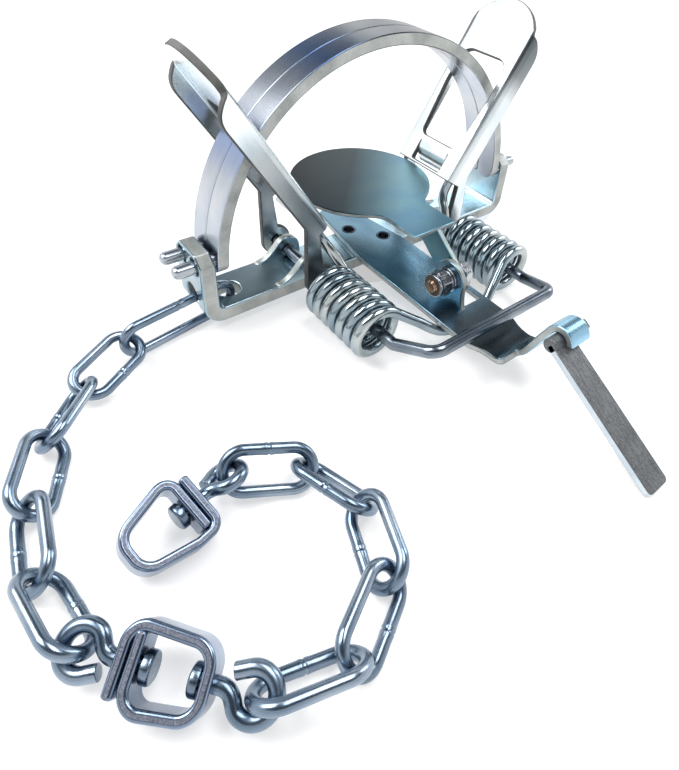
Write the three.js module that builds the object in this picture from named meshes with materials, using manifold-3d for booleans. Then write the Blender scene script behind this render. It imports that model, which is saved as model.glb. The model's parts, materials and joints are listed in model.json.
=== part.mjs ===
// Double coil-spring foothold trap, lying sprung on the ground with its swivel chain beside it.
// Millimetres. X runs along the base bar, -Y is the side of the dog, Z is up, and the origin is the
// middle of the base bar's underside.

import * as THREE from "three";
import { mergeVertices } from "three/addons/utils/BufferGeometryUtils.js";
import Module from "manifold-3d";

const wasm = await Module();
wasm.setup();

// Shared by all cuts: how far a cutter runs past the face that it cuts
const overrun = 2;

// Base bar: a flat bar bent up at both ends
const baseLength = 160;
const baseWidth = 20;
const baseThickness = 6;
const baseBendRadius = 8;
const uprightHeight = 29.5;
const uprightChamfer = 3.8;
const standHeight = 3.6;

// Ears on the base bar that hold the spring rod
const earThickness = 3;
const earRadius = 6;
const earBackLength = 15;

// Jaws: two flat hoops that shut against each other
const jawSideClearance = 1;
const jawThickness = 4.4;
const jawWidth = 8.8;
const jawGap = 1.2;
const jawCentreHeight = 21;
const jawHingeHeight = 24.5;
const tangWidth = 5;
const tangOverhang = 7.8;
const tangClearance = 0.27;

// Levers: the two stamped channels that the springs push up the jaws
const leverSpread = 35;
const leverAngle = THREE.MathUtils.degToRad(57.5);
const leverWidth = 36;
const leverThickness = 2.5;
const leverUnderside = 13.5;
const leverPlateStart = 18;
const leverHeadCentre = 77;
const flangeDrop = 6;
const flangeEnd = 80.5;
const flangeCornerRadius = 6;
const tongueRadius = 6.5;
const tongueUpperAngle = THREE.MathUtils.degToRad(42);
const tongueLowerAngle = THREE.MathUtils.degToRad(-62.6);
const tongueNeck = 2;
const tongueFoot = 6;
const windowStart = 31;
const windowLength = 40;
const windowWidth = 25;
const windowNarrowWidth = 21;
const windowWidens = 24;
const windowCornerRadius = 3;
const windowTopRadius = 6;
const louverTop = 28;
const louverSlotLength = 8.5;
const louverWidth = 17;
const louverRadius = 7;
const louverTurn = THREE.MathUtils.degToRad(75);

// Spring rod: one round rod bent to a U that both levers turn on
const rodRadius = 2.3;
const rodClearance = 0.3;
const rodFarReach = 22;
const rodTipHeight = 21;
const rodBendRadius = 5;
const rodArmBend = 62;
const rodBarReach = 78;
const rodBarSpread = 30.5;
const rodBarHeight = 14.5;

// Springs: two torsion springs wound round the rod's arms
const springWireRadius = 2;
const springRadius = 9.5;
const springPitch = 4.7;
const springTurns = 7;
const springNearEnd = 55;
const springNearPhase = THREE.MathUtils.degToRad(45);
const springLegUnderPlate = 0.3;
const springLegBeside = 0.3;
const springLegEnd = 40;
const springLegCross = 13;
const springFootDrop = 0.6;
const springFootEnd = 3;
const springFootReach = 66;
const springFootEntry = 12;
const springFootEntryReach = 62;

// Cross plate: the strip riveted across the base bar, bent up and curled round the dog's pin
const crossThickness = 2.5;
const crossWidth = 25.6;
const crossFarWidth = 14;
const crossFarEnd = 26;
const crossWideStart = 14;
const crossWideEnd = 72;
const crossTailWidth = 20;
const crossTailStart = 85.4;
const crossCornerRadius = 3;
const tailBendRadius = 8;
const tailBendAngle = THREE.MathUtils.degToRad(66);
const tailLength = 15.3;
const tailShoulder = 4;
const curlLeft = 1.6;
const curlRight = 8;
const dogPinRadius = 2.6;
const dogPinClearance = 0.4;

// Rivets that hold the cross plate to the base bar
const rivetPlaces = [new THREE.Vector2(-4, 6), new THREE.Vector2(6, -6)];
const rivetRadius = 2.9;
const rivetClearance = 0.1;
const rivetRecessRadius = 2;
const rivetRecessDepth = 4;
const rivetHeadRadius = 4.5;
const rivetHeadEdge = 1.2;

// Pan bolt, its nut and washers, and the lanced ear that carries them
const boltReach = 53.5;
const boltHeight = 18;
const boltRadius = 2.5;
const boltHeadLength = 3.5;
const boltHeadRadius = 5;
const boltEndLength = 1.2;
const boltHeadGap = 0.3;
const hardwareGap = 0.1;
const washerThickness = 0.9;
const washerRadius = 5;
const nutLength = 4.2;
const nutRadius = 5.2;
const insertLength = 1.8;
const insertRadius = 3.9;
const nutCollarWall = 0.625;
const crossEarLeft = 2;
const crossEarRadius = 7.5;
const crossEarFoot = 22;
const lanceGap = 0.3;
const lanceLength = 15;
const lanceWidth = 9.7;

// Pan: the round trigger plate on its arm
const panRadius = 29.4;
const panCentre = 5;
const panThickness = 1.6;
const panHeight = 31.4;
const panTabWidth = 21;
const panTabReach = 41.5;
const panTabFillet = 6;
const panArmThickness = 2;
const panArmGap = 0.5;
const panArmStart = 24;
const panBossRadius = 7;
const panBoreClearance = 0.15;

// Dog: the flat trigger finger in the cross plate's curl
const dogLength = 53;
const dogThickness = 2.6;
const dogTipClearance = 0.1;
const dogLeft = 6;
const dogRight = 4;
const dogPinRight = 10;
const dogStubEnd = 13;
const dogStubWidth = 3.4;
const dogTipCorner = 1.5;
const dogSwingClearance = 0.2;

// Chain: one anchor ring, ten links, and swivels of bent strip with hooked eyes
const wireRadius = 1.75;
const ringYaw = THREE.MathUtils.degToRad(189);
const ringReach = 41;
const ringSetback = 0.9;
const ringSlack = 0.3;
const anchorHoleHeight = 9.5;
const anchorHoleRadius = 4.6;
const baseHoleInset = 14;
const baseHoleRadius = 4.6;
const ringBarClearance = 0.1;
const linkLength = 29;
const linkWidth = 15.2;
const linkTilt = THREE.MathUtils.degToRad(45);
const firstLinkTilt = THREE.MathUtils.degToRad(-20);
const tautPlay = 0.6;
const slackPlay = 1.2;
const tautHeadings = [209, 225, 242, 260, 277];
const slackHeadings = [344, 389, 430, 468, 513];
const swivelHeading = 310;
const endHeading = 554;
const eyeWireRadius = 1.9;
const eyeRadius = 4.9;
const eyeContact = 2.2;
const eyeShankLength = 8.5;
const eyeShankBend = 7.8;
const eyeEndLength = 3.5;
const eyeStartAngle = THREE.MathUtils.degToRad(60);
const eyeEndAngle = THREE.MathUtils.degToRad(292);
const eyeHeadRadius = 3.6;
const eyeHeadLength = 2.4;
const eyeHeadGap = 0.4;
const eyeHoleClearance = 0.4;
const eyeTilt = THREE.MathUtils.degToRad(28);
const stripThickness = 2.6;
const stripWidth = 8.5;
const stripLap = 0.3;
const swivelTilt = THREE.MathUtils.degToRad(26);
const boxLength = 22;
const boxHalfWidth = 9.6;
const boxFarHalfWidth = 8.2;
const boxCornerRadius = 4.2;
const boxFarCornerRadius = 4.8;
const endLoopLength = 23;
const endLoopHalfWidth = 10;
const endLoopTipHalfWidth = 6.5;
const endLoopCornerRadius = 3;
const endLoopShoulder = 8;
const endLoopTipRadius = 5.2;
const lapLengthShare = 0.72;

// Places that follow from the sizes above
const baseEnd = baseLength / 2;
const pivotHeight = baseThickness + rodRadius + rodClearance;
const rodHoleRadius = rodRadius + rodClearance;
const jawOuterRadius = baseEnd - baseThickness - jawSideClearance;
const jawHingeOffset = (jawWidth + jawGap) / 2;
const jawHoleRadius = Math.hypot(tangWidth, jawThickness) / 2 + tangClearance;
const crossTop = baseThickness + crossThickness;
const springTurnsAngle = springTurns * 2 * Math.PI + (Math.PI / 2 - leverAngle) - springNearPhase;
const springHeight = springRadius + springWireRadius;
const curlInnerRadius = dogPinRadius + dogPinClearance;
const curlRadius = curlInnerRadius + crossThickness / 2;
const tailTopReach = crossTailStart + tailBendRadius * Math.sin(tailBendAngle)
  + tailLength * Math.cos(tailBendAngle);
const tailTopHeight = crossTop - crossThickness / 2 + tailBendRadius * (1 - Math.cos(tailBendAngle))
  + tailLength * Math.sin(tailBendAngle);
const pinReach = tailTopReach + curlRadius * Math.sin(tailBendAngle);
const pinHeight = tailTopHeight - curlRadius * Math.cos(tailBendAngle);
const groundHeight = -standHeight;
const dogAngle = Math.asin((pinHeight + standHeight - dogThickness / 2 - dogTipClearance) / dogLength);
const springAxisHeight = groundHeight + springHeight;
const ringBowRadius = (anchorHoleHeight + wireRadius + ringBarClearance) / 2;
const linkBowRadius = linkWidth / 2 - wireRadius;
const tautPitch = linkLength - 4 * wireRadius - tautPlay;
const slackPitch = linkLength - 4 * wireRadius - slackPlay;
const linkHeight = groundHeight + linkBowRadius * Math.sin(linkTilt) + wireRadius;
const swivelHeight = groundHeight + boxHalfWidth * Math.sin(swivelTilt)
  + stripWidth / 2 * Math.cos(swivelTilt);
const endLoopHeight = groundHeight + endLoopHalfWidth * Math.sin(swivelTilt)
  + stripWidth / 2 * Math.cos(swivelTilt);

// Materials
function metal(color, roughness) {
  return new THREE.MeshStandardMaterial({ color, roughness, metalness: 0.9 });
}
const zinc = metal(0xa9b6cf, 0.3);
const paleZinc = metal(0xc3cbd8, 0.32);
const springWire = metal(0xc9ccd0, 0.28);
const slateZinc = metal(0x7f93b4, 0.35);
const roughZinc = metal(0x8b8f9a, 0.5);
const amber = new THREE.MeshStandardMaterial({ color: 0x9a6a34, roughness: 0.55, metalness: 0 });

// Solids: to the boolean library and back
function solid(geometry) {
  const bare = geometry.clone();
  bare.deleteAttribute("normal");
  bare.deleteAttribute("uv");
  const merged = mergeVertices(bare);
  const vertProperties = new Float32Array(merged.attributes.position.array);
  const triVerts = new Uint32Array(merged.index.array);
  return new wasm.Manifold(new wasm.Mesh({ numProp: 3, vertProperties, triVerts }));
}

function surface(body) {
  const mesh = body.getMesh();
  const geometry = new THREE.BufferGeometry();
  geometry.setAttribute("position", new THREE.BufferAttribute(new Float32Array(mesh.vertProperties), 3));
  geometry.setIndex(new THREE.BufferAttribute(new Uint32Array(mesh.triVerts), 1));
  return geometry;
}

function united(first, ...others) {
  return others.reduce((body, other) => body.add(solid(other)), solid(first));
}

// An outline extruded along an axis, from one coordinate to another
const axisFrames = {
  x: new THREE.Matrix4().makeBasis(
    new THREE.Vector3(0, 1, 0), new THREE.Vector3(0, 0, 1), new THREE.Vector3(1, 0, 0)),
  y: new THREE.Matrix4().makeBasis(
    new THREE.Vector3(1, 0, 0), new THREE.Vector3(0, 0, 1), new THREE.Vector3(0, -1, 0)),
  z: new THREE.Matrix4(),
};

function extruded(shape, axis, from, to, curveSegments = 8) {
  const geometry = new THREE.ExtrudeGeometry(shape, { depth: to - from, bevelEnabled: false, curveSegments });
  geometry.applyMatrix4(axisFrames[axis]);
  if (axis === "x") geometry.translate(from, 0, 0);
  if (axis === "y") geometry.translate(0, to, 0);
  if (axis === "z") geometry.translate(0, 0, from);
  return geometry;
}

function disc(u, v, radius) {
  const shape = new THREE.Shape();
  shape.absarc(u, v, radius, 0, 2 * Math.PI);
  return shape;
}

function hexagon(u, v, radius) {
  const corners = Array.from({ length: 6 }, (_, i) => new THREE.Vector2(
    u + radius * Math.cos(i * Math.PI / 3), v + radius * Math.sin(i * Math.PI / 3)));
  return new THREE.Shape(corners);
}

function rectangle(uMin, vMin, uMax, vMax) {
  return new THREE.Shape([
    new THREE.Vector2(uMin, vMin), new THREE.Vector2(uMax, vMin),
    new THREE.Vector2(uMax, vMax), new THREE.Vector2(uMin, vMax)]);
}

// A path whose corners are rounded with the given radii, as points
function rounded(corners, radii, steps) {
  const points = [corners[0].clone()];
  for (let i = 1; i < corners.length - 1; i++) {
    const radius = Array.isArray(radii) ? radii[i - 1] : radii;
    const back = corners[i - 1].clone().sub(corners[i]).normalize();
    const ahead = corners[i + 1].clone().sub(corners[i]).normalize();
    const half = back.angleTo(ahead) / 2;
    const middle = back.clone().add(ahead).normalize().multiplyScalar(radius / Math.sin(half))
      .add(corners[i]);
    const from = back.multiplyScalar(radius / Math.tan(half)).add(corners[i]).sub(middle);
    const to = ahead.multiplyScalar(radius / Math.tan(half)).add(corners[i]).sub(middle);
    const turn = from.angleTo(to);
    for (let k = 0; k <= steps; k++) {
      const start = from.clone().multiplyScalar(Math.sin(turn * (1 - k / steps)) / Math.sin(turn));
      const end = to.clone().multiplyScalar(Math.sin(turn * k / steps) / Math.sin(turn));
      points.push(start.add(end).add(middle));
    }
  }
  points.push(corners[corners.length - 1].clone());
  return points;
}

// A curve that steps from one given point to the next
class Route extends THREE.Curve {
  constructor(points) {
    super();
    this.points = points;
  }

  getPointAt(u, target = new THREE.Vector3()) {
    return target.copy(this.points[Math.round(u * (this.points.length - 1))]);
  }

  getTangentAt(u, target = new THREE.Vector3()) {
    const last = this.points.length - 1;
    const i = Math.round(u * last);
    const before = this.points[Math.max(i - 1, 0)];
    const after = this.points[Math.min(i + 1, last)];
    return target.copy(after).sub(before).normalize();
  }
}

// A round tube through the given points, closed at both ends
function tube(points, radius, sides) {
  const corners = Array.from({ length: sides }, (_, i) => new THREE.Vector2(
    radius * Math.cos(i * 2 * Math.PI / sides), radius * Math.sin(i * 2 * Math.PI / sides)));
  return new THREE.ExtrudeGeometry(new THREE.Shape(corners), {
    steps: points.length - 1, extrudePath: new Route(points), bevelEnabled: false });
}

// The outline of a flat strip of even thickness that follows a path in its own plane
function stripShape(points, thickness) {
  const last = points.length - 1;
  const sides = [1, -1].map((side) => points.map((point, i) => {
    const along = points[Math.min(i + 1, last)].clone().sub(points[Math.max(i - 1, 0)]).normalize();
    return new THREE.Vector2(
      point.x - side * along.y * thickness / 2, point.y + side * along.x * thickness / 2);
  }));
  return new THREE.Shape([...sides[0], ...sides[1].reverse()]);
}

function arcPoints(u, v, radius, from, to, steps) {
  return Array.from({ length: steps + 1 }, (_, i) => {
    const angle = from + (to - from) * i / steps;
    return new THREE.Vector3(u + radius * Math.cos(angle), v + radius * Math.sin(angle), 0);
  });
}

const model = new THREE.Group();

function addPiece(name, geometry, material, parent = model) {
  const mesh = new THREE.Mesh(geometry, material);
  mesh.name = name;
  parent.add(mesh);
  return mesh;
}

// Base bar
function baseProfile() {
  const inner = baseBendRadius - baseThickness;
  const wall = baseEnd - baseThickness;
  const bend = baseEnd - baseBendRadius;
  const shape = new THREE.Shape();
  shape.moveTo(-baseEnd, uprightHeight);
  shape.lineTo(-baseEnd, baseBendRadius);
  shape.absarc(-bend, baseBendRadius, baseBendRadius, Math.PI, 1.5 * Math.PI, false);
  shape.absarc(bend, baseBendRadius, baseBendRadius, 1.5 * Math.PI, 2 * Math.PI, false);
  shape.lineTo(baseEnd, uprightHeight);
  shape.lineTo(wall, uprightHeight);
  shape.absarc(bend, baseBendRadius, inner, 2 * Math.PI, 1.5 * Math.PI, true);
  shape.absarc(-bend, baseBendRadius, inner, 1.5 * Math.PI, Math.PI, true);
  shape.lineTo(-wall, uprightHeight);
  return shape;
}

function baseEndOutline() {
  const side = baseWidth / 2;
  return new THREE.Shape([
    new THREE.Vector2(-side, -overrun), new THREE.Vector2(side, -overrun),
    new THREE.Vector2(side, uprightHeight - uprightChamfer),
    new THREE.Vector2(side - uprightChamfer, uprightHeight),
    new THREE.Vector2(uprightChamfer - side, uprightHeight),
    new THREE.Vector2(-side, uprightHeight - uprightChamfer)]);
}

function earOutline(side) {
  const root = baseThickness / 2;
  const slope = Math.PI / 4;
  const shape = new THREE.Shape();
  const u = (value) => side * (leverSpread + value);
  const shoulder = earRadius * Math.cos(slope);
  shape.moveTo(u(-earRadius), root);
  shape.lineTo(u(-earRadius), pivotHeight);
  if (side > 0) shape.absarc(leverSpread, pivotHeight, earRadius, Math.PI, slope, true);
  else shape.absarc(-leverSpread, pivotHeight, earRadius, 0, Math.PI - slope, false);
  shape.quadraticCurveTo(u(2 * shoulder), pivotHeight, u(earBackLength), baseThickness);
  shape.lineTo(u(earBackLength), root);
  return shape;
}

function baseBar() {
  const side = baseWidth / 2;
  let body = solid(extruded(baseProfile(), "y", -side, side, 4));
  body = body.intersect(solid(extruded(baseEndOutline(), "x", -baseLength, baseLength)));
  for (const end of [-1, 1]) {
    for (const y of [-side, side - earThickness]) {
      body = body.add(solid(extruded(earOutline(end), "y", y, y + earThickness, 5)));
    }
    const rodHole = disc(end * leverSpread, pivotHeight, rodHoleRadius);
    body = body.subtract(solid(extruded(rodHole, "y", -baseWidth, baseWidth, 10)));
    const jawHole = disc(end * jawHingeOffset, jawHingeHeight, jawHoleRadius);
    body = body.subtract(solid(extruded(jawHole, "x", -baseLength, baseLength, 10)));
  }
  const anchorHole = disc(0, anchorHoleHeight, anchorHoleRadius);
  const anchorHoleEnd = baseThickness + overrun - baseEnd;
  body = body.subtract(solid(extruded(anchorHole, "x", -baseLength, anchorHoleEnd, 10)));
  const baseHole = disc(baseHoleInset - baseEnd, 0, baseHoleRadius);
  body = body.subtract(solid(extruded(baseHole, "z", -overrun, baseThickness + overrun, 10)));
  for (const place of rivetPlaces) body = body.subtract(rivetHole(place));
  return surface(body);
}

function rivetHole(place) {
  const outline = disc(place.x, place.y, rivetRadius + rivetClearance);
  return solid(extruded(outline, "z", -overrun, crossTop + overrun, 8));
}

// Jaws
function jaw(side) {
  const outline = new THREE.Shape();
  const inner = jawOuterRadius - jawThickness;
  const foot = jawHingeHeight - jawWidth / 2;
  outline.moveTo(jawOuterRadius, foot);
  outline.lineTo(jawOuterRadius, jawCentreHeight);
  outline.absarc(0, jawCentreHeight, jawOuterRadius, 0, Math.PI, false);
  outline.lineTo(-jawOuterRadius, foot);
  outline.lineTo(-inner, foot);
  outline.lineTo(-inner, jawCentreHeight);
  outline.absarc(0, jawCentreHeight, inner, Math.PI, 0, true);
  outline.lineTo(inner, foot);
  const middle = side * jawHingeOffset;
  let body = solid(extruded(outline, "y", middle - jawWidth / 2, middle + jawWidth / 2, 16));

  const section = new THREE.Shape();
  const top = jawCentreHeight + jawOuterRadius + overrun;
  section.moveTo(middle + jawWidth / 2, top);
  section.lineTo(middle - jawWidth / 2, top);
  section.lineTo(middle - jawWidth / 2, jawHingeHeight);
  section.absarc(middle, jawHingeHeight, jawWidth / 2, Math.PI, 2 * Math.PI, false);
  body = body.intersect(solid(extruded(section, "x", -baseLength, baseLength, 6)));

  const tang = rectangle(middle - tangWidth / 2, jawHingeHeight - jawThickness / 2,
    middle + tangWidth / 2, jawHingeHeight + jawThickness / 2);
  const tangEnd = baseEnd + tangOverhang;
  const tangRoot = jawOuterRadius - jawThickness / 2;
  body = body.add(solid(extruded(tang, "x", tangRoot, tangEnd)));
  body = body.add(solid(extruded(tang, "x", -tangEnd, -tangRoot)));
  return surface(body);
}

// Levers, in their own frame: X runs out from the pivot, Z is the plate's outer side
function leverPlateOutline() {
  const side = leverWidth / 2;
  const shape = new THREE.Shape();
  shape.moveTo(leverPlateStart, -side);
  shape.lineTo(leverHeadCentre, -side);
  shape.absarc(leverHeadCentre, 0, side, -Math.PI / 2, Math.PI / 2, false);
  shape.lineTo(leverPlateStart, side);
  return shape;
}

function flangeOutline() {
  const top = leverUnderside + leverThickness;
  const edge = leverUnderside - flangeDrop;
  const shape = new THREE.Shape();
  shape.moveTo(leverPlateStart, top);
  shape.lineTo(leverPlateStart, edge + tongueNeck);
  shape.lineTo(tongueRadius * Math.cos(tongueUpperAngle), tongueRadius * Math.sin(tongueUpperAngle));
  shape.absarc(0, 0, tongueRadius, tongueUpperAngle, tongueLowerAngle + 2 * Math.PI, false);
  shape.lineTo(leverPlateStart + tongueFoot, edge);
  shape.lineTo(flangeEnd - flangeCornerRadius, edge);
  shape.quadraticCurveTo(flangeEnd, edge, flangeEnd, edge + flangeCornerRadius);
  shape.lineTo(flangeEnd, top);
  return shape;
}

function windowOutline() {
  const wide = windowWidth / 2;
  const narrow = windowNarrowWidth / 2;
  const end = windowStart + windowLength;
  const shape = new THREE.Shape();
  shape.moveTo(windowStart, 0);
  shape.lineTo(windowStart, -narrow + windowCornerRadius);
  shape.quadraticCurveTo(windowStart, -narrow, windowStart + windowCornerRadius, -narrow);
  shape.lineTo(windowStart + windowWidens, -wide);
  shape.lineTo(end - windowTopRadius, -wide);
  shape.quadraticCurveTo(end, -wide, end, -wide + windowTopRadius);
  shape.lineTo(end, wide - windowTopRadius);
  shape.quadraticCurveTo(end, wide, end - windowTopRadius, wide);
  shape.lineTo(windowStart + windowWidens, wide);
  shape.lineTo(windowStart + windowCornerRadius, narrow);
  shape.quadraticCurveTo(windowStart, narrow, windowStart, narrow - windowCornerRadius);
  return shape;
}

function louverOutline() {
  const middle = leverUnderside + leverThickness / 2 - louverRadius;
  const root = new THREE.Vector3(louverTop + leverThickness / 2, leverUnderside + leverThickness / 2, 0);
  const arc = arcPoints(louverTop, middle, louverRadius, Math.PI / 2, Math.PI / 2 + louverTurn, 6);
  return stripShape([root, ...arc], leverThickness);
}

function lever() {
  const side = leverWidth / 2;
  const top = leverUnderside + leverThickness;
  let body = solid(extruded(leverPlateOutline(), "z", leverUnderside, top, 10));
  for (const y of [-side, side - leverThickness]) {
    body = body.add(solid(extruded(flangeOutline(), "y", y, y + leverThickness, 8)));
  }
  const cutFrom = leverUnderside - overrun;
  body = body.subtract(solid(extruded(windowOutline(), "z", cutFrom, top + overrun, 4)));
  const slot = rectangle(louverTop - louverSlotLength, -louverWidth / 2, louverTop, louverWidth / 2);
  body = body.subtract(solid(extruded(slot, "z", cutFrom, top + overrun)));
  body = body.add(solid(extruded(louverOutline(), "y", -louverWidth / 2, louverWidth / 2)));
  body = body.subtract(solid(extruded(disc(0, 0, rodHoleRadius), "y", -leverWidth, leverWidth, 10)));
  return surface(body);
}

function addLever(name, side) {
  const frame = new THREE.Group();
  frame.position.set(side * leverSpread, 0, pivotHeight);
  frame.rotation.set(0, -leverAngle, side > 0 ? 0 : Math.PI, "ZYX");
  model.add(frame);
  addPiece(name, lever(), side > 0 ? zinc : paleZinc, frame);
}

// Springs: the right one's path; the left one is its mirror image
function leverPoint(along, out, y) {
  return new THREE.Vector3(
    leverSpread + along * Math.cos(leverAngle) - out * Math.sin(leverAngle), y,
    pivotHeight + along * Math.sin(leverAngle) + out * Math.cos(leverAngle));
}

function springRoute() {
  const legHeight = leverUnderside - springLegUnderPlate - springWireRadius;
  const legY = leverThickness + springLegBeside + springWireRadius - leverWidth / 2;
  const advance = springTurnsAngle * springPitch / (2 * Math.PI);
  const farEnd = advance - springNearEnd;
  const outAngle = Math.PI / 2 + leverAngle;
  const coil = [];
  const steps = Math.round(springTurnsAngle / (Math.PI / 4));
  for (let i = 0; i <= steps; i++) {
    const angle = outAngle + springTurnsAngle * i / steps;
    coil.push(new THREE.Vector3(
      leverSpread + springRadius * Math.cos(angle), farEnd - advance * i / steps,
      springAxisHeight + springRadius * Math.sin(angle)));
  }
  const leg = new THREE.CatmullRomCurve3([
    leverPoint(springLegEnd, legHeight, legY),
    leverPoint(2 * springLegCross, legHeight, legY),
    leverPoint(springLegCross, legHeight - springLegUnderPlate, legY),
    leverPoint(springLegCross / 2, legHeight - springWireRadius / 2, (legY + farEnd) / 2),
    leverPoint(springWireRadius / 2, legHeight - springWireRadius, farEnd + springPitch / 8),
    coil[0]], false, "catmullrom", 0.5).getPoints(15);
  const footHeight = baseThickness - springFootDrop - springWireRadius;
  const last = coil[coil.length - 1];
  const foot = new THREE.CatmullRomCurve3([
    last,
    new THREE.Vector3((last.x + springFootEntry) / 2, -(springNearEnd + springFootEntryReach) / 2,
      (last.z + footHeight) / 2),
    new THREE.Vector3(springFootEntry, -springFootEntryReach, footHeight),
    new THREE.Vector3(springFootEnd, -springFootReach, footHeight)]).getPoints(9);
  return [...leg.slice(0, -1), ...coil, ...foot.slice(1)];
}

function selfGap(points, radius) {
  const reach = springRadius;
  let least = Infinity;
  for (let i = 0; i < points.length; i++) {
    let run = 0;
    for (let j = i + 1; j < points.length; j++) {
      run += points[j].distanceTo(points[j - 1]);
      if (run > reach * 2) least = Math.min(least, points[i].distanceTo(points[j]) - 2 * radius);
    }
  }
  return least;
}

function addSpring(name, side) {
  const route = springRoute();
  const points = side > 0 ? route : route.map((point) => new THREE.Vector3(-point.x, point.y, point.z));
  console.log(name, "least gap to itself", selfGap(route, springWireRadius).toFixed(2));
  addPiece(name, tube(points, springWireRadius, 6), springWire);
}

// Spring rod
function springRod() {
  const half = [
    new THREE.Vector3(leverSpread, rodFarReach, rodTipHeight),
    new THREE.Vector3(leverSpread, rodFarReach, pivotHeight),
    new THREE.Vector3(leverSpread, -rodArmBend, pivotHeight),
    new THREE.Vector3(rodBarSpread, -rodBarReach, rodBarHeight)];
  const mirror = half.map((point) => new THREE.Vector3(-point.x, point.y, point.z)).reverse();
  return tube(rounded([...half, ...mirror], rodBendRadius, 4), rodRadius, 10);
}

// Cross plate: seen from above, with the tail and the curl that rise from it
function crossOutline() {
  const far = crossFarWidth / 2;
  const wide = crossWidth / 2;
  const tail = crossTailWidth / 2;
  const corner = crossCornerRadius;
  const shoulder = tailTopReach - tailShoulder * Math.cos(tailBendAngle);
  const curlEnd = pinReach + curlRadius + crossThickness;
  const shape = new THREE.Shape();
  shape.moveTo(-far + corner, crossFarEnd);
  shape.quadraticCurveTo(-far, crossFarEnd, -far, crossFarEnd - corner);
  shape.lineTo(-wide, -crossWideStart);
  shape.lineTo(-wide, -crossWideEnd);
  shape.bezierCurveTo(-wide, -(crossWideEnd + crossTailStart) / 2, -tail,
    -(crossWideEnd + crossTailStart) / 2, -tail, -crossTailStart);
  shape.lineTo(-tail, -shoulder);
  shape.lineTo(-curlLeft, -shoulder);
  shape.lineTo(-curlLeft, -curlEnd);
  shape.lineTo(curlRight, -curlEnd);
  shape.lineTo(curlRight, -shoulder);
  shape.lineTo(tail, -shoulder);
  shape.lineTo(tail, -crossTailStart);
  shape.bezierCurveTo(tail, -(crossWideEnd + crossTailStart) / 2, wide,
    -(crossWideEnd + crossTailStart) / 2, wide, -crossWideEnd);
  shape.lineTo(wide, -crossWideStart);
  shape.lineTo(far, crossFarEnd - corner);
  shape.quadraticCurveTo(far, crossFarEnd, far - corner, crossFarEnd);
  return shape;
}

// The strip's middle line, as Y and Z, from past the far end to the curl's lip
function crossPoints() {
  const height = crossTop - crossThickness / 2;
  const start = new THREE.Vector3(crossFarEnd + overrun, height, 0);
  const bend = arcPoints(-crossTailStart, height + tailBendRadius, tailBendRadius,
    -Math.PI / 2, -Math.PI / 2 - tailBendAngle, 6);
  const lipSpread = Math.asin((dogThickness / 2 + dogSwingClearance) / curlInnerRadius);
  const curl = arcPoints(-pinReach, pinHeight, curlRadius,
    Math.PI / 2 - tailBendAngle, Math.PI + dogAngle - lipSpread, 12);
  return [start, ...bend, ...curl];
}

function crossEarOutline() {
  const root = baseThickness + crossThickness / 2;
  const foot = crossEarFoot / 2;
  const shape = new THREE.Shape();
  shape.moveTo(-boltReach - foot, root);
  shape.lineTo(-boltReach + foot, root);
  shape.quadraticCurveTo(-boltReach + crossEarRadius, crossTop, -boltReach + crossEarRadius, boltHeight);
  shape.absarc(-boltReach, boltHeight, crossEarRadius, 0, Math.PI, false);
  shape.quadraticCurveTo(-boltReach - crossEarRadius, crossTop, -boltReach - foot, root);
  return shape;
}

function crossPlate() {
  const earRight = crossThickness - crossEarLeft;
  const strip = extruded(stripShape(crossPoints(), crossThickness), "x", -crossWidth, crossWidth);
  const outline = extruded(crossOutline(), "z", 0, uprightHeight + crossWidth, 6);
  let body = solid(strip).intersect(solid(outline));
  body = body.add(solid(extruded(crossEarOutline(), "x", -crossEarLeft, earRight, 7)));
  const slotLeft = earRight + lanceGap;
  const slot = rectangle(slotLeft, -boltReach - lanceLength / 2,
    slotLeft + lanceWidth, -boltReach + lanceLength / 2);
  body = body.subtract(solid(extruded(slot, "z", baseThickness - overrun, crossTop + overrun)));
  for (const place of rivetPlaces) body = body.subtract(rivetHole(place));
  return surface(body.subtract(boltBore()));
}

function boltBore() {
  const outline = disc(-boltReach, boltHeight, boltRadius + panBoreClearance);
  return solid(extruded(outline, "x", -crossWidth, crossWidth, 8));
}

// A rivet: a button head under the bar and a hollow end flush with the cross plate
function rivet() {
  const profile = [
    new THREE.Vector2(0, groundHeight),
    new THREE.Vector2(rivetHeadRadius - rivetHeadEdge, groundHeight),
    new THREE.Vector2(rivetHeadRadius, groundHeight + rivetHeadEdge),
    new THREE.Vector2(rivetHeadRadius, -rivetClearance),
    new THREE.Vector2(rivetRadius, -rivetClearance),
    new THREE.Vector2(rivetRadius, crossTop),
    new THREE.Vector2(rivetRecessRadius, crossTop),
    new THREE.Vector2(rivetRecessRadius, crossTop - rivetRecessDepth),
    new THREE.Vector2(0, crossTop - rivetRecessDepth)];
  const geometry = new THREE.LatheGeometry(profile, 20);
  return surface(solid(geometry.rotateX(Math.PI / 2)));
}

// Bolt, nut and washers, along X
function stackEdges() {
  const earFace = -crossEarLeft;
  const flatOuter = earFace - hardwareGap - washerThickness;
  const lockOuter = flatOuter - hardwareGap - washerThickness;
  const nutInner = lockOuter - hardwareGap;
  const armRight = crossThickness - crossEarLeft + panArmGap + panArmThickness;
  return { earFace, flatOuter, lockOuter, nutInner, nutOuter: nutInner - nutLength,
    headInner: armRight + boltHeadGap };
}

function panBolt() {
  const { nutOuter, headInner } = stackEdges();
  const shank = disc(-boltReach, boltHeight, boltRadius);
  const head = hexagon(-boltReach, boltHeight, boltHeadRadius);
  return surface(united(
    extruded(shank, "x", nutOuter - insertLength - boltEndLength, headInner + boltHeadLength / 2, 8),
    extruded(head, "x", headInner, headInner + boltHeadLength)));
}

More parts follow.
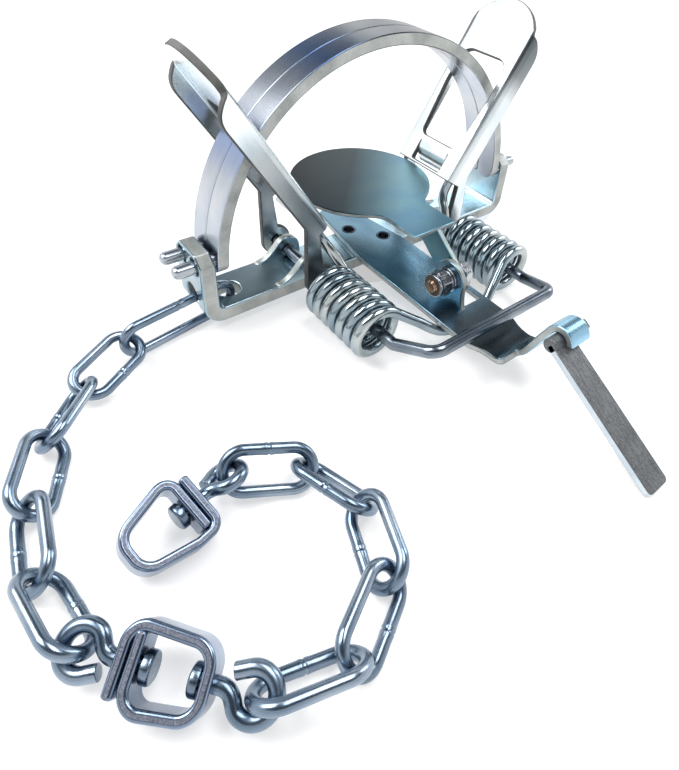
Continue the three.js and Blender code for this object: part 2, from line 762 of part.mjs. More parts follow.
function washer(from, radius) {
  const ring = disc(-boltReach, boltHeight, radius);
  ring.holes.push(disc(-boltReach, boltHeight, boltRadius + panBoreClearance));
  return extruded(ring, "x", from, from + washerThickness, 8);
}

function panNut() {
  const { nutInner, nutOuter } = stackEdges();
  const outer = nutOuter - insertLength;
  const collar = disc(-boltReach, boltHeight, insertRadius + panBoreClearance + nutCollarWall);
  const body = united(
    extruded(hexagon(-boltReach, boltHeight, nutRadius), "x", nutOuter, nutInner),
    extruded(collar, "x", outer, nutOuter + hardwareGap, 8));
  const seat = disc(-boltReach, boltHeight, insertRadius + hardwareGap);
  return surface(body.subtract(boltBore())
    .subtract(solid(extruded(seat, "x", outer - overrun, nutOuter, 8))));
}

function nutInsert() {
  const { nutOuter } = stackEdges();
  const ring = disc(-boltReach, boltHeight, insertRadius);
  ring.holes.push(disc(-boltReach, boltHeight, boltRadius + hardwareGap));
  return extruded(ring, "x", nutOuter - insertLength, nutOuter - hardwareGap, 8);
}

// Pan
function panOutline() {
  const tab = panTabWidth / 2;
  const half = Math.asin(tab / panRadius);
  const neck = panCentre - panRadius * Math.cos(half);
  const shape = new THREE.Shape();
  shape.moveTo(tab, -panTabReach);
  shape.lineTo(tab, neck - panTabFillet);
  const open = half + panTabFillet / panRadius;
  shape.quadraticCurveTo(tab, neck, panRadius * Math.sin(open), panCentre - panRadius * Math.cos(open));
  shape.absarc(0, panCentre, panRadius, open - Math.PI / 2, 1.5 * Math.PI - open, false);
  shape.quadraticCurveTo(-tab, neck, -tab, neck - panTabFillet);
  shape.lineTo(-tab, -panTabReach);
  return shape;
}

function panArmOutline() {
  const top = panHeight + panThickness / 2;
  const shape = new THREE.Shape();
  shape.moveTo(-panArmStart, top);
  shape.lineTo(-panTabReach, top);
  shape.lineTo(-boltReach - panBossRadius, boltHeight);
  shape.absarc(-boltReach, boltHeight, panBossRadius, Math.PI, 1.75 * Math.PI, false);
  return shape;
}

function pan() {
  const armLeft = crossThickness - crossEarLeft + panArmGap;
  const body = united(
    extruded(panOutline(), "z", panHeight, panHeight + panThickness, 24),
    extruded(panArmOutline(), "x", armLeft, armLeft + panArmThickness, 8));
  return surface(body.subtract(boltBore()));
}

// Dog, in its own frame: X along the pin, Y out along the blade
function dog() {
  const blade = new THREE.Shape();
  blade.moveTo(-dogLeft, 0);
  blade.lineTo(dogRight, 0);
  blade.lineTo(dogRight, dogLength - dogTipCorner);
  blade.lineTo(dogRight - dogTipCorner, dogLength);
  blade.lineTo(dogTipCorner - dogLeft, dogLength);
  blade.lineTo(-dogLeft, dogLength - dogTipCorner);
  const stub = rectangle(-dogStubWidth / 2, -dogStubWidth / 2, dogStubWidth / 2, dogStubWidth / 2);
  return surface(united(
    extruded(blade, "z", -dogThickness / 2, dogThickness / 2),
    extruded(disc(0, 0, dogPinRadius), "x", -dogLeft, dogPinRight, 8),
    extruded(stub, "x", dogRight, dogStubEnd)));
}

function addDog() {
  const frame = new THREE.Group();
  frame.position.set(0, -pinReach, pinHeight);
  frame.rotation.set(dogAngle, 0, Math.PI, "XYZ");
  model.add(frame);
  addPiece("dog", dog().rotateY(Math.PI), roughZinc, frame);
}

// Chain links: a ring of wire drawn out to a long link, in its own plane
function wireLink(bowRadius, halfStraight) {
  const quarter = 5;
  const rings = 4 * quarter + 2;
  const geometry = new THREE.TorusGeometry(bowRadius, wireRadius, 8, rings);
  const positions = geometry.attributes.position;
  for (let i = 0; i < positions.count; i++) {
    const ring = i % (rings + 1);
    const side = ring <= quarter || ring > 3 * quarter + 1 ? 1 : -1;
    const step = ring <= quarter ? ring : ring <= 3 * quarter + 1 ? ring - 1 : ring - 2;
    const angle = step * Math.PI / 2 / quarter;
    const around = 2 * Math.PI * Math.floor(i / (rings + 1)) / 8;
    const reach = bowRadius + wireRadius * Math.cos(around);
    positions.setXYZ(i, reach * Math.cos(angle) + side * halfStraight, reach * Math.sin(angle),
      wireRadius * Math.sin(around));
  }
  return surface(solid(geometry));
}

// A frame at a contact point, turned to a heading and climbing to the next point
function chainFrame(start, heading, climb, tilt) {
  const frame = new THREE.Group();
  frame.position.copy(start);
  frame.rotation.set(tilt, -climb, heading, "ZYX");
  model.add(frame);
  frame.updateMatrixWorld(true);
  return frame;
}

function addRing() {
  const halfStraight = (ringReach + ringSetback + wireRadius + ringSlack) / 2 - ringBowRadius;
  const height = anchorHoleHeight - ringBowRadius;
  const frame = chainFrame(new THREE.Vector3(baseHoleInset - baseEnd, 0, height), ringYaw, 0, Math.PI / 2);
  const mesh = addPiece("anchor_ring", wireLink(ringBowRadius, halfStraight), zinc, frame);
  mesh.position.x = (ringReach + wireRadius + ringSlack - ringSetback) / 2;
  return frame.localToWorld(new THREE.Vector3(ringReach, 0, 0));
}

function addLink(name, start, heading, endHeight, pitch, tilt) {
  const climb = Math.asin((endHeight - start.z) / pitch);
  const frame = chainFrame(start, heading, climb, tilt);
  const halfStraight = linkLength / 2 - linkWidth / 2;
  const mesh = addPiece(name, wireLink(linkBowRadius, halfStraight), zinc, frame);
  mesh.position.x = pitch / 2;
  return frame.localToWorld(new THREE.Vector3(pitch, 0, 0));
}

// A hooked eye: the hook's middle is the origin and the shank runs out along X to its head
function swivelEye(wallThickness) {
  const hook = arcPoints(0, 0, eyeRadius, eyeStartAngle, eyeEndAngle, 12);
  const bend = new THREE.CubicBezierCurve3(
    new THREE.Vector3(eyeShankBend, 0, 0),
    new THREE.Vector3(eyeShankBend / 2, 0, 0),
    hook[0].clone().add(new THREE.Vector3(Math.sin(eyeStartAngle), -Math.cos(eyeStartAngle), 0)
      .multiplyScalar(eyeShankBend / 4)),
    hook[0]).getPoints(5);
  const tip = hook[hook.length - 1].clone().add(
    new THREE.Vector3(-Math.sin(eyeEndAngle), Math.cos(eyeEndAngle), 0).multiplyScalar(eyeEndLength));
  const headAt = eyeShankLength + wallThickness + eyeHeadGap;
  const start = new THREE.Vector3(headAt + eyeHeadLength / 2, 0, 0);
  const wire = tube([start, ...bend.slice(0, -1), ...hook, tip], eyeWireRadius, 8);
  const head = new THREE.CylinderGeometry(eyeHeadRadius, eyeHeadRadius, eyeHeadLength, 14);
  head.rotateZ(Math.PI / 2);
  head.translate(headAt + eyeHeadLength / 2, 0, 0);
  return surface(united(wire, head));
}

// A strip loop whose two ends lap on the near side; the near side's outer face is at zero
function stripLoop(nearHalf, nearRadius, farCorners, farRadii) {
  const outer = stripThickness / 2;
  const inner = outer + stripThickness + stripLap;
  const end = nearHalf * lapLengthShare;
  const line = nearHalf - stripThickness / 2;
  const corners = [
    new THREE.Vector3(outer, -end, 0), new THREE.Vector3(outer, line, 0), ...farCorners,
    new THREE.Vector3(inner, -line, 0), new THREE.Vector3(inner, end, 0)];
  const points = rounded(corners, [nearRadius, ...farRadii, nearRadius], 5);
  return extruded(stripShape(points, stripThickness), "z", -stripWidth / 2, stripWidth / 2);
}

function holed(loop, from, to) {
  const hole = disc(0, 0, eyeWireRadius + eyeHoleClearance);
  return surface(solid(loop).subtract(solid(extruded(hole, "x", from, to, 8))));
}

function boxSwivel() {
  const far = boxLength - stripThickness / 2;
  const width = boxFarHalfWidth - stripThickness / 2;
  const loop = stripLoop(boxHalfWidth, boxCornerRadius,
    [new THREE.Vector3(far, width, 0), new THREE.Vector3(far, -width, 0)],
    [boxFarCornerRadius, boxFarCornerRadius]);
  return holed(loop, -overrun, boxLength + overrun);
}

function endLoop() {
  const far = endLoopLength - stripThickness / 2;
  const wide = endLoopHalfWidth - stripThickness / 2;
  const tip = endLoopTipHalfWidth - stripThickness / 2;
  const loop = stripLoop(endLoopHalfWidth, endLoopCornerRadius,
    [new THREE.Vector3(endLoopShoulder, wide, 0), new THREE.Vector3(far, tip, 0),
      new THREE.Vector3(far, -tip, 0), new THREE.Vector3(endLoopShoulder, -wide, 0)],
    [endLoopCornerRadius, endLoopTipRadius, endLoopTipRadius, endLoopCornerRadius]);
  return holed(loop, -overrun, 2 * stripThickness + stripLap + overrun);
}

function addChain() {
  const lapped = 2 * stripThickness + stripLap;
  const radians = THREE.MathUtils.degToRad;
  let point = addRing();
  tautHeadings.forEach((heading, i) => {
    const last = i === tautHeadings.length - 1;
    const evenTilt = i === 0 ? firstLinkTilt : -linkTilt;
    const tilt = i % 2 === 0 ? evenTilt : linkTilt;
    const end = last ? swivelHeight : linkHeight;
    point = addLink(`chain_link_${i + 1}`, point, radians(heading), end, tautPitch, tilt);
  });

  const swivel = radians(swivelHeading);
  const firstEye = chainFrame(point, swivel, 0, eyeTilt);
  addPiece("swivel_eye_a", swivelEye(lapped), zinc, firstEye).position.x = eyeContact;
  const boxStart = firstEye.localToWorld(new THREE.Vector3(eyeContact + eyeShankLength, 0, 0));
  const boxFrame = chainFrame(boxStart, swivel, 0, swivelTilt);
  addPiece("box_swivel", boxSwivel(), roughZinc, boxFrame);
  const hookReach = boxLength + eyeShankLength;
  const secondStart = boxFrame.localToWorld(new THREE.Vector3(hookReach, 0, 0));
  const secondEye = chainFrame(secondStart, swivel + Math.PI, 0, -eyeTilt);
  addPiece("swivel_eye_b", swivelEye(stripThickness), zinc, secondEye);
  point = boxFrame.localToWorld(new THREE.Vector3(hookReach + eyeContact, 0, 0));

  slackHeadings.forEach((heading, i) => {
    const last = i === slackHeadings.length - 1;
    const tilt = i % 2 === 0 ? -linkTilt : linkTilt;
    const end = last ? endLoopHeight : linkHeight;
    const number = tautHeadings.length + i + 1;
    point = addLink(`chain_link_${number}`, point, radians(heading), end, slackPitch, tilt);
  });

  const endEye = chainFrame(point, radians(endHeading), 0, eyeTilt);
  addPiece("swivel_eye_end", swivelEye(lapped), zinc, endEye).position.x = eyeContact;
  const loopStart = endEye.localToWorld(new THREE.Vector3(eyeContact + eyeShankLength, 0, 0));
  addPiece("end_loop", endLoop(), slateZinc, chainFrame(loopStart, radians(endHeading), 0, -swivelTilt));
}

// Assembly
addPiece("base_bar", baseBar(), zinc);
addPiece("cross_plate", crossPlate(), zinc);
rivetPlaces.forEach((place, i) => {
  addPiece(`rivet_${i + 1}`, rivet(), paleZinc).position.set(place.x, place.y, 0);
});
addPiece("jaw_front", jaw(-1), zinc);
addPiece("jaw_back", jaw(1), slateZinc);
addLever("lever_left", -1);
addLever("lever_right", 1);
addSpring("spring_left", -1);
addSpring("spring_right", 1);
addPiece("spring_rod", springRod(), paleZinc);
addPiece("pan", pan(), slateZinc);
addPiece("pan_bolt", panBolt(), zinc);
addPiece("washer_flat", washer(stackEdges().flatOuter, washerRadius), paleZinc);
addPiece("washer_lock", washer(stackEdges().lockOuter, nutRadius * Math.cos(Math.PI / 6)), paleZinc);
addPiece("pan_nut", panNut(), zinc);
addPiece("nut_insert", nutInsert(), amber);
addDog();
addChain();

export default model;
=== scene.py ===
import json
import math
from math import cos, pi, sin

import bmesh
import bpy
import numpy as np
from mathutils import Matrix, Vector
from mathutils.geometry import tessellate_polygon

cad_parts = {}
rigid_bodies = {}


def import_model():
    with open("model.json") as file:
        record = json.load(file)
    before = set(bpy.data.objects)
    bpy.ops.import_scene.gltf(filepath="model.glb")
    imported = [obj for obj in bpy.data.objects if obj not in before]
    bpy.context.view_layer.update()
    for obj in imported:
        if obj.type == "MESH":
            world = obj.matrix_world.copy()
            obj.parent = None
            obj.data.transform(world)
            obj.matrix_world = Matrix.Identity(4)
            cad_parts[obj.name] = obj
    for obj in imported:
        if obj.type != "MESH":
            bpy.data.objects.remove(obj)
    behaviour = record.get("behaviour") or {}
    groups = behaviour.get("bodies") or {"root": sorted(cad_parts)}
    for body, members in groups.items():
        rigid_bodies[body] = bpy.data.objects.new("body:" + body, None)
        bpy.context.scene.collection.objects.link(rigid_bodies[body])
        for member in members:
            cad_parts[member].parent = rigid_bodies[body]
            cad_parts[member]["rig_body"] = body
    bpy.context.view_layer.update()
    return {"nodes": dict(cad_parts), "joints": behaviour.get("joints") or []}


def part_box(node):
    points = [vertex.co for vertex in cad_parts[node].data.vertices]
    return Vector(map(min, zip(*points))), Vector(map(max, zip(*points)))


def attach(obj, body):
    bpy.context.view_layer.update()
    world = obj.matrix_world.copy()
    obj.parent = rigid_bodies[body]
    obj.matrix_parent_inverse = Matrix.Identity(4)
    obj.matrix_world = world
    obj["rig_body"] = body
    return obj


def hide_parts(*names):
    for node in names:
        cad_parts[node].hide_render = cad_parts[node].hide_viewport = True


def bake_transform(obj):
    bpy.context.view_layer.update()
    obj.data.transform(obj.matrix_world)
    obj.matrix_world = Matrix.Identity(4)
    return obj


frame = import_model()

# Double coil-spring foothold trap, lying sprung on the ground with its swivel chain beside it.
# Sizes are in millimetres and become metres when a piece is made.
MM = 0.001

# Base bar
BASE_END = 80
BASE_WIDTH = 20
BASE_THICK = 6
BASE_BEND = 8
UPRIGHT_HEIGHT = 29.5
UPRIGHT_CHAMFER = 3.8
TANG_HOLE = 3.6
ANCHOR_HOLE = 4.6
ANCHOR_HEIGHT = 9.5
BASE_HOLE_X = -66
EAR_THICK = 3
EAR_RADIUS = 6
EAR_BACK = 15
GROUND = -3.6

# Kept between faces that would lie in one plane
GAP = 0.02

# Jaws
JAW_OUTER = 73
JAW_THICK = 4.4
JAW_WIDTH = 8.8
JAW_SEAM = 0.06
JAW_CENTRE = 21
JAW_HINGE_Y = 5
JAW_HINGE_Z = 24.5
TANG_WIDTH = 5
TANG_EDGE = 1.9
TANG_ROOT = 1.5
TANG_END = 87.8

# Levers
PIVOT_X = 35
PIVOT_Z = 8.6
LEVER_ANGLE = math.radians(57.5)
LEVER_HALF = 18
LEVER_THICK = 2.5
LEVER_TOP = 16
LEVER_START = 18
HEAD_CENTRE = 77
FOLD_RADIUS = 3.2
FLANGE_EDGE = 7.5
FLANGE_END = 80.5
TONGUE_RADIUS = 6.5
TONGUE_ANGLES = (42, 297.4)
WINDOW_START = 31
WINDOW_END = 71
WINDOW_HALF = 12.5
WINDOW_FOOT_HALF = 10.5
WINDOW_WIDENS = 24
LOUVER_TOP = 28
LOUVER_LENGTH = 8.5
LOUVER_HALF = 8.5
LOUVER_RADIUS = 7
SHEET_EDGE = 0.45

# Spring rod and springs
ROD_RADIUS = 2.3
ROD_HOLE = 2.6
ROD_TIP_Y = 22
ROD_TIP_Z = 21
ROD_ARM_Y = -62
ROD_BAR_Y = -78
ROD_BAR_X = 30.5
ROD_BAR_Z = 14.5
ROD_BEND = 5
SPRING_WIRE = 2
SPRING_RADIUS = 9.5
SPRING_PITCH = 4.7
SPRING_TURNS = 7
SPRING_NEAR_Y = -55
SPRING_AXIS_Z = GROUND + SPRING_RADIUS + SPRING_WIRE
SPRING_GAP = 0.3
SPRING_POINTS = 210
LEG_END = 40
LEG_MIDDLE = 26
LEG_CROSS = 13
FOOT_ENTRY = (12, -62)
FOOT_END = (3, -66)
FOOT_DROP = 0.6

# Cross plate and its curl
CROSS_THICK = 2.5
CROSS_TOP = BASE_THICK + CROSS_THICK
CROSS_HALF = 12.8
CROSS_FAR_HALF = 7
CROSS_TAIL_HALF = 10
CROSS_FAR_Y = 26
CROSS_WIDE_Y = -14
CROSS_NARROW_Y = -72
TAIL_Y = -85.4
TAIL_BEND = 8
TAIL_STEPS = 12
TAIL_ANGLE = math.radians(66)
TAIL_LENGTH = 15.3
TAIL_SHOULDER = 4
CURL_RADIUS = 4.25
CURL_LEFT = -1.6
CURL_RIGHT = 8
PIN_RADIUS = 2.6

# The slot that the ear leaves
SLOT_HALF = 7.5
SLOT_SIDES = (0.8, 10.5)

# Rivets through the bar and the cross plate
RIVETS = ((-4, 6), (6, -6))
RIVET_HEAD = 4.5
RIVET_SHANK = 2.9
RIVET_BORE = 2.92

# Bolt stack: each piece's radius, over the corners if hexagonal, then its two ends along X
BOLT_Y = -53.5
BOLT_Z = 18
BOLT_RADIUS = 2.5
BOLT_HOLE = 2.65
BOLT_PITCH = 0.8
THREAD_DEPTH = 0.42
BOLT_THREAD = (-11.3, 4)
BOLT_HEAD = (5, 3.3, 6.8)
NUT = (5.2, -8.3, -4.1)
WASHER_BORE = 2.65
WASHER_EDGE = 0.15
FLAT_WASHER = (5, -3.0, -2.1)
LOCK_WASHER = (4.5, -4.0, -3.1)
NYLON_BORE = 2.6
NYLON_RING = (3.9, -10.1, -8.4)
COLLAR_BORE = 3.95
COLLAR_RADIUS = 4.65
COLLAR_ENDS = (-10.1, -8.2)

# Pan
PAN_RADIUS = 29.4
PAN_Y = 5
PAN_Z = 31.4
PAN_THICK = 1.6
PAN_TAB_HALF = 10.5
PAN_TAB_Y = -41.5
PAN_TAB_AT = 90
PAN_NECK = 6
PAN_ARM = (1, 3)
PAN_ARM_Y = -24
PAN_ARM_RADIUS = 7

# Dog
DOG_LENGTH = 53
DOG_THICK = 2.6
DOG_LEFT = -6
DOG_RIGHT = 4
PIN_RIGHT = 10
PIN_EDGE = 0.4
STUB_HALF = 1.7

# Chain
LINK_WIRE = 1.75
EYE_WIRE = 1.9
WELD_SWELL = 0.16
WELD_GROOVE = 0.3
EYE_RADIUS = 4.9
EYE_ANGLES = (60, 292)
EYE_TIP = 3.5
EYE_CONTACT = 2.2
EYE_NECK = 7.8
EYE_SHANK = 8.5
EYE_PLAY = 0.4
BUTTON_RADIUS = 3.6
BUTTON_LENGTH = 2.4
STRIP_THICK = 2.6
STRIP_WIDTH = 8.5
STRIP_EDGE = 0.85
STRIP_LAP = 0.3

# Box swivel and end loop: outside sizes, and the middle line's radii at the lap and at the far end
BOX_LENGTH = 22
BOX_NEAR_HALF = 9.6
BOX_FAR_HALF = 8.2
BOX_RADII = (4.2, 4.8)
LOOP_LENGTH = 23
LOOP_HALF = 10
LOOP_TIP_HALF = 6.5
LOOP_SHOULDER = 8
LOOP_RADII = (3, 5.2)

# Faces that meet at less than this, in radians, are one flat
FLAT_ANGLE = 0.003
LATHE_SIDES = 48


# Shapes
class Shape:
    """Points in millimetres and faces. grain is each point's place in the flat, unbent piece, and cut marks
    the faces that are a rough cut edge."""

    def __init__(self, points, faces, grain=None, cut=None):
        self.points = np.array(points, float).reshape(-1, 3)
        self.faces = [tuple(int(i) for i in f) for f in faces]
        self.grain = np.array(self.points if grain is None else grain, float).reshape(-1, 3)
        self.cut = list(cut or [0] * len(self.faces))

    def __add__(self, other):
        shift = len(self.points)
        faces = self.faces + [tuple(i + shift for i in f) for f in other.faces]
        return Shape(np.vstack([self.points, other.points]), faces,
                     np.vstack([self.grain, other.grain]), self.cut + other.cut)

    def moved(self, matrix):
        m = np.array(matrix)
        return Shape(self.points @ m[:3, :3].T + m[:3, 3], self.faces, self.grain, self.cut)


def loft(rings, closed=False, caps=True, grain=None, cut_sides=()):
    """A skin over rings of points. The sides numbered in cut_sides are cut edges, and so are the caps."""
    rings = np.array(rings, float)
    count, around = rings.shape[:2]
    faces, cut = [], []
    for i in range(count if closed else count - 1):
        j = (i + 1) % count
        for k in range(around):
            n = (k + 1) % around
            faces.append((i * around + k, i * around + n, j * around + n, j * around + k))
            cut.append(int(k in cut_sides))
    if caps and not closed:
        faces += [tuple(range(around))[::-1], tuple((count - 1) * around + k for k in range(around))]
        cut += [1, 1]
    return Shape(rings.reshape(-1, 3), faces, grain, cut)


def along(path, closed=False):
    """Tangents and running lengths of a path."""
    p = np.array(path, float)
    if closed:
        t = np.roll(p, -1, 0) - np.roll(p, 1, 0)
    else:
        t = np.gradient(p, axis=0)
    t /= np.linalg.norm(t, axis=1)[:, None]
    steps = np.linalg.norm(np.diff(p, axis=0), axis=1)
    return p, t, np.concatenate([[0], np.cumsum(steps)])


def wire(path, radius, sides=20, closed=False, up=None, chamfer=0.25):
    """A round wire along a path. radius may be one value or one for each point."""
    p, t, run = along(path, closed)
    r = np.ones(len(p)) * radius
    if not closed:
        p = np.vstack([p[:1], p[:1] + t[:1] * chamfer, p[1:-1], p[-1:] - t[-1:] * chamfer, p[-1:]])
        t = np.vstack([t[:1], t, t[-1:]])
        r = np.concatenate([[r[0] - chamfer], r, [r[-1] - chamfer]])
        run = np.concatenate([run[:1], run[:1] + chamfer, run[1:-1], run[-1:] - chamfer, run[-1:]])
    angles, normal = round_angles(sides), Vector(t[0]).orthogonal()
    rings, grain = [], []
    for i in range(len(p)):
        tangent = Vector(t[i])
        if up is not None:
            normal = Vector(up).cross(tangent)
        normal = (normal - tangent * normal.dot(tangent)).normalized()
        other = tangent.cross(normal)
        rings.append(p[i] + r[i] * (np.outer(np.cos(angles), normal) + np.outer(np.sin(angles), other)))
        grain.append(np.column_stack([np.full(sides, run[i]), np.sin(angles) * r[i], np.cos(angles) * r[i]]))
    return loft(rings, closed, grain=np.array(grain))


def rounded_section(left, right, half, edge, steps):
    """Points (across, out) round a rectangle with rounded corners."""
    low, high, out = left + edge, right - edge, half - edge
    points = []
    for start, u, v in ((0, high, out), (90, low, out), (180, low, -out), (270, high, -out)):
        points += arc(u, v, edge, start, start + 90, steps)
    return np.array(points)


def strip(path, left, right, thickness, across, edge=0.35, ends=True, steps=3):
    """A flat strip whose middle line is the path, from left to right along across. With ends, its ends have
    rounded edges too."""
    p, t, run = along(path)
    across = np.array(across, float)
    left, right = np.ones(len(p)) * left, np.ones(len(p)) * right
    half = np.ones(len(p)) * thickness / 2
    if ends:
        turns = np.linspace(0, pi / 2, steps + 1)[:-1]
        dips, runs = edge * (1 - np.sin(turns)), edge * (1 - np.cos(turns))
        first = [p[0] + t[0] * d for d in runs]
        last = [p[-1] - t[-1] * d for d in runs[::-1]]
        p = np.vstack([first, p[:1] + t[:1] * edge, p[1:-1], p[-1:] - t[-1:] * edge, last])
        t = np.vstack([[t[0]] * steps, t, [t[-1]] * steps])
        left, right, half = (np.concatenate([v[0] + dip, v, v[-1] + dip[::-1]])
                             for v, dip in ((left, dips), (right, -dips), (half, -dips)))
        run = np.concatenate([runs, run, run[-1] - runs[::-1]])
    rings, grain = [], []
    for i in range(len(p)):
        out = np.cross(t[i], across)
        room = min(edge, half[i] * 0.98, (right[i] - left[i]) * 0.49)
        section = rounded_section(left[i], right[i], half[i], room, steps)
        rings.append(p[i] + np.outer(section[:, 0], across) + np.outer(section[:, 1], out))
        grain.append(np.column_stack([np.full(len(section), run[i]), section]))
    narrow = (2 * steps + 1, 4 * steps + 3)
    return loft(rings, grain=np.array(grain), cut_sides=narrow)


def inset(loop, distance):
    """A closed outline moved inwards: to the left of its direction."""
    sides = (loop - np.roll(loop, 1, 0), np.roll(loop, -1, 0) - loop)
    before, after = (np.column_stack([-v[:, 1], v[:, 0]]) / np.linalg.norm(v, axis=1)[:, None] for v in sides)
    normal = before + after
    normal /= np.maximum((normal * before).sum(1), 0.6)[:, None]
    return loop + normal * distance


def anticlockwise(loop):
    loop = np.array(loop, float)
    x, y = loop[:, 0], loop[:, 1]
    area = (x * np.roll(y, -1) - np.roll(x, -1) * y).sum()
    return loop if area > 0 else loop[::-1]


def plate(outline, holes, low, high, edge=0.35, steps=3, rim=False):
    """A flat plate with rounded edges: the outline and the holes lie in X and Y, low and high are Z.

    With rim, the rounded edges are cut edges too."""
    loops = [anticlockwise(outline)] + [anticlockwise(h)[::-1] for h in holes]
    turns = np.linspace(0, pi / 2, steps + 1)
    profile = [(edge * (1 - sin(a)), low + edge * (1 - cos(a))) for a in turns]
    profile += [(d, low + high - z) for d, z in reversed(profile)]
    points, faces, cut, caps, start = [], [], [], [], 0
    middle = len(profile) // 2 - 1
    for loop in loops:
        rings = [np.column_stack([inset(loop, d), np.full(len(loop), z)]) for d, z in profile]
        side = loft(rings, caps=False)
        faces += [tuple(i + start for i in f) for f in side.faces]
        cut += [int(rim or f[0] // len(loop) == middle) for f in side.faces]
        caps.append((rings[0], start, rings[-1], start + (len(rings) - 1) * len(loop)))
        points.append(side.points)
        start += len(side.points)
    for which, flip in ((0, True), (2, False)):
        index = np.concatenate([c[which + 1] + np.arange(len(c[which])) for c in caps])
        for triangle in tessellate_polygon([[Vector(p) for p in c[which]] for c in caps]):
            faces.append(tuple(index[i] for i in (reversed(triangle) if flip else triangle)))
            cut.append(0)
    return Shape(np.vstack(points), faces, cut=cut)


def folded(shape, cuts, place):
    """The shape with extra edges at the cuts, each (axis, value), and each point moved by place."""
    bm = bmesh.new()
    verts = [bm.verts.new(p) for p in shape.points]
    layer = bm.faces.layers.int.new("cut")
    for face, mark in zip(shape.faces, shape.cut):
        bm.faces.new([verts[i] for i in face])[layer] = mark
    for axis, value in cuts:
        normal = Vector(np.eye(3)[axis])
        geometry = [*bm.verts, *bm.edges, *bm.faces]
        bmesh.ops.bisect_plane(bm, geom=geometry, plane_co=normal * value, plane_no=normal, dist=1e-5)
    bm.verts.index_update()
    flat = [tuple(v.co) for v in bm.verts]
    faces = [[v.index for v in f.verts] for f in bm.faces]
    marks = [f[layer] for f in bm.faces]
    bm.free()
    return Shape([place(*p) for p in flat], faces, flat, marks)


def circle(u, v, radius):
    return turned(0, radius, round_angles(LATHE_SIDES))[:, 1:] + (u, v)


def arc(u, v, radius, start, end, count):
    """Points round an arc, from start to end in degrees."""
    angles = np.radians(np.linspace(start, end, count + 1))
    return [(u + radius * cos(a), v + radius * sin(a)) for a in angles]


def fillet(corners, radii, steps=6, closed=True):
    """An outline or path whose corners are rounded. A radius of nought keeps the corner."""
    size = len(corners[0])
    corners = [Vector(tuple(c) + (0,) * (3 - len(c))) for c in corners]
    count = len(corners)
    radii = np.ones(count) * radii
    points = []
    for i, corner in enumerate(corners):
        if (not closed and i in (0, count - 1)) or not radii[i]:
            points.append(corner)
            continue
        back = (corners[i - 1] - corner).normalized()
        ahead = (corners[(i + 1) % count] - corner).normalized()
        half = back.angle(ahead) / 2
        reach = radii[i] / math.tan(half)
        middle = corner + (back + ahead).normalized() * radii[i] / sin(half)
        start, end = corner + back * reach - middle, corner + ahead * reach - middle
        turn = start.angle(end)
        for k in range(steps + 1):
            a, b = sin(turn * (1 - k / steps)), sin(turn * k / steps)
            points.append(middle + (start * a + end * b) / sin(turn))
    return np.array([tuple(p)[:size] for p in points])


def curve(controls):
    """A smooth path through the control points."""
    count = 10
    p = np.array(controls, float)
    p = np.vstack([2 * p[0] - p[1], p, 2 * p[-1] - p[-2]])
    points = []
    for i in range(1, len(p) - 2):
        for t in np.arange(count) / count:
            a, b, c, d = p[i - 1:i + 3]
            points.append(0.5 * (2 * b + (c - a) * t + (2 * a - 5 * b + 4 * c - d) * t * t
                                 + (3 * b - a - 3 * c + d) * t ** 3))
    return np.array(points + [p[-2]])


def bezier(a, b, c, d, count=10):
    t = np.linspace(0, 1, count + 1)[:, None]
    a, b, c, d = (np.array(p, float) for p in (a, b, c, d))
    points = (1 - t) ** 3 * a + 3 * (1 - t) ** 2 * t * b + 3 * (1 - t) * t * t * c + t ** 3 * d
    return [tuple(p) for p in points]


def round_angles(sides):
    return np.arange(sides) * 2 * pi / sides


def turned(x, radius, angles):
    """A ring of points round X. radius may be one value or one for each angle."""
    return np.column_stack([np.full(len(angles), x), radius * np.cos(angles), radius * np.sin(angles)])


def lathe(profile, sides=LATHE_SIDES, closed=False):
    """A solid of revolution about X, from points of (radius, x). A closed profile makes a ring."""
    return loft([turned(x, r, round_angles(sides)) for r, x in profile], closed)


# Turn X, Y, Z to X, Z, Y and to Y, Z, X
SIDEWAYS = Matrix(((1, 0, 0, 0), (0, 0, 1, 0), (0, 1, 0, 0), (0, 0, 0, 1)))
LENGTHWAYS = Matrix(((0, 0, 1, 0), (1, 0, 0, 0), (0, 1, 0, 0), (0, 0, 0, 1)))


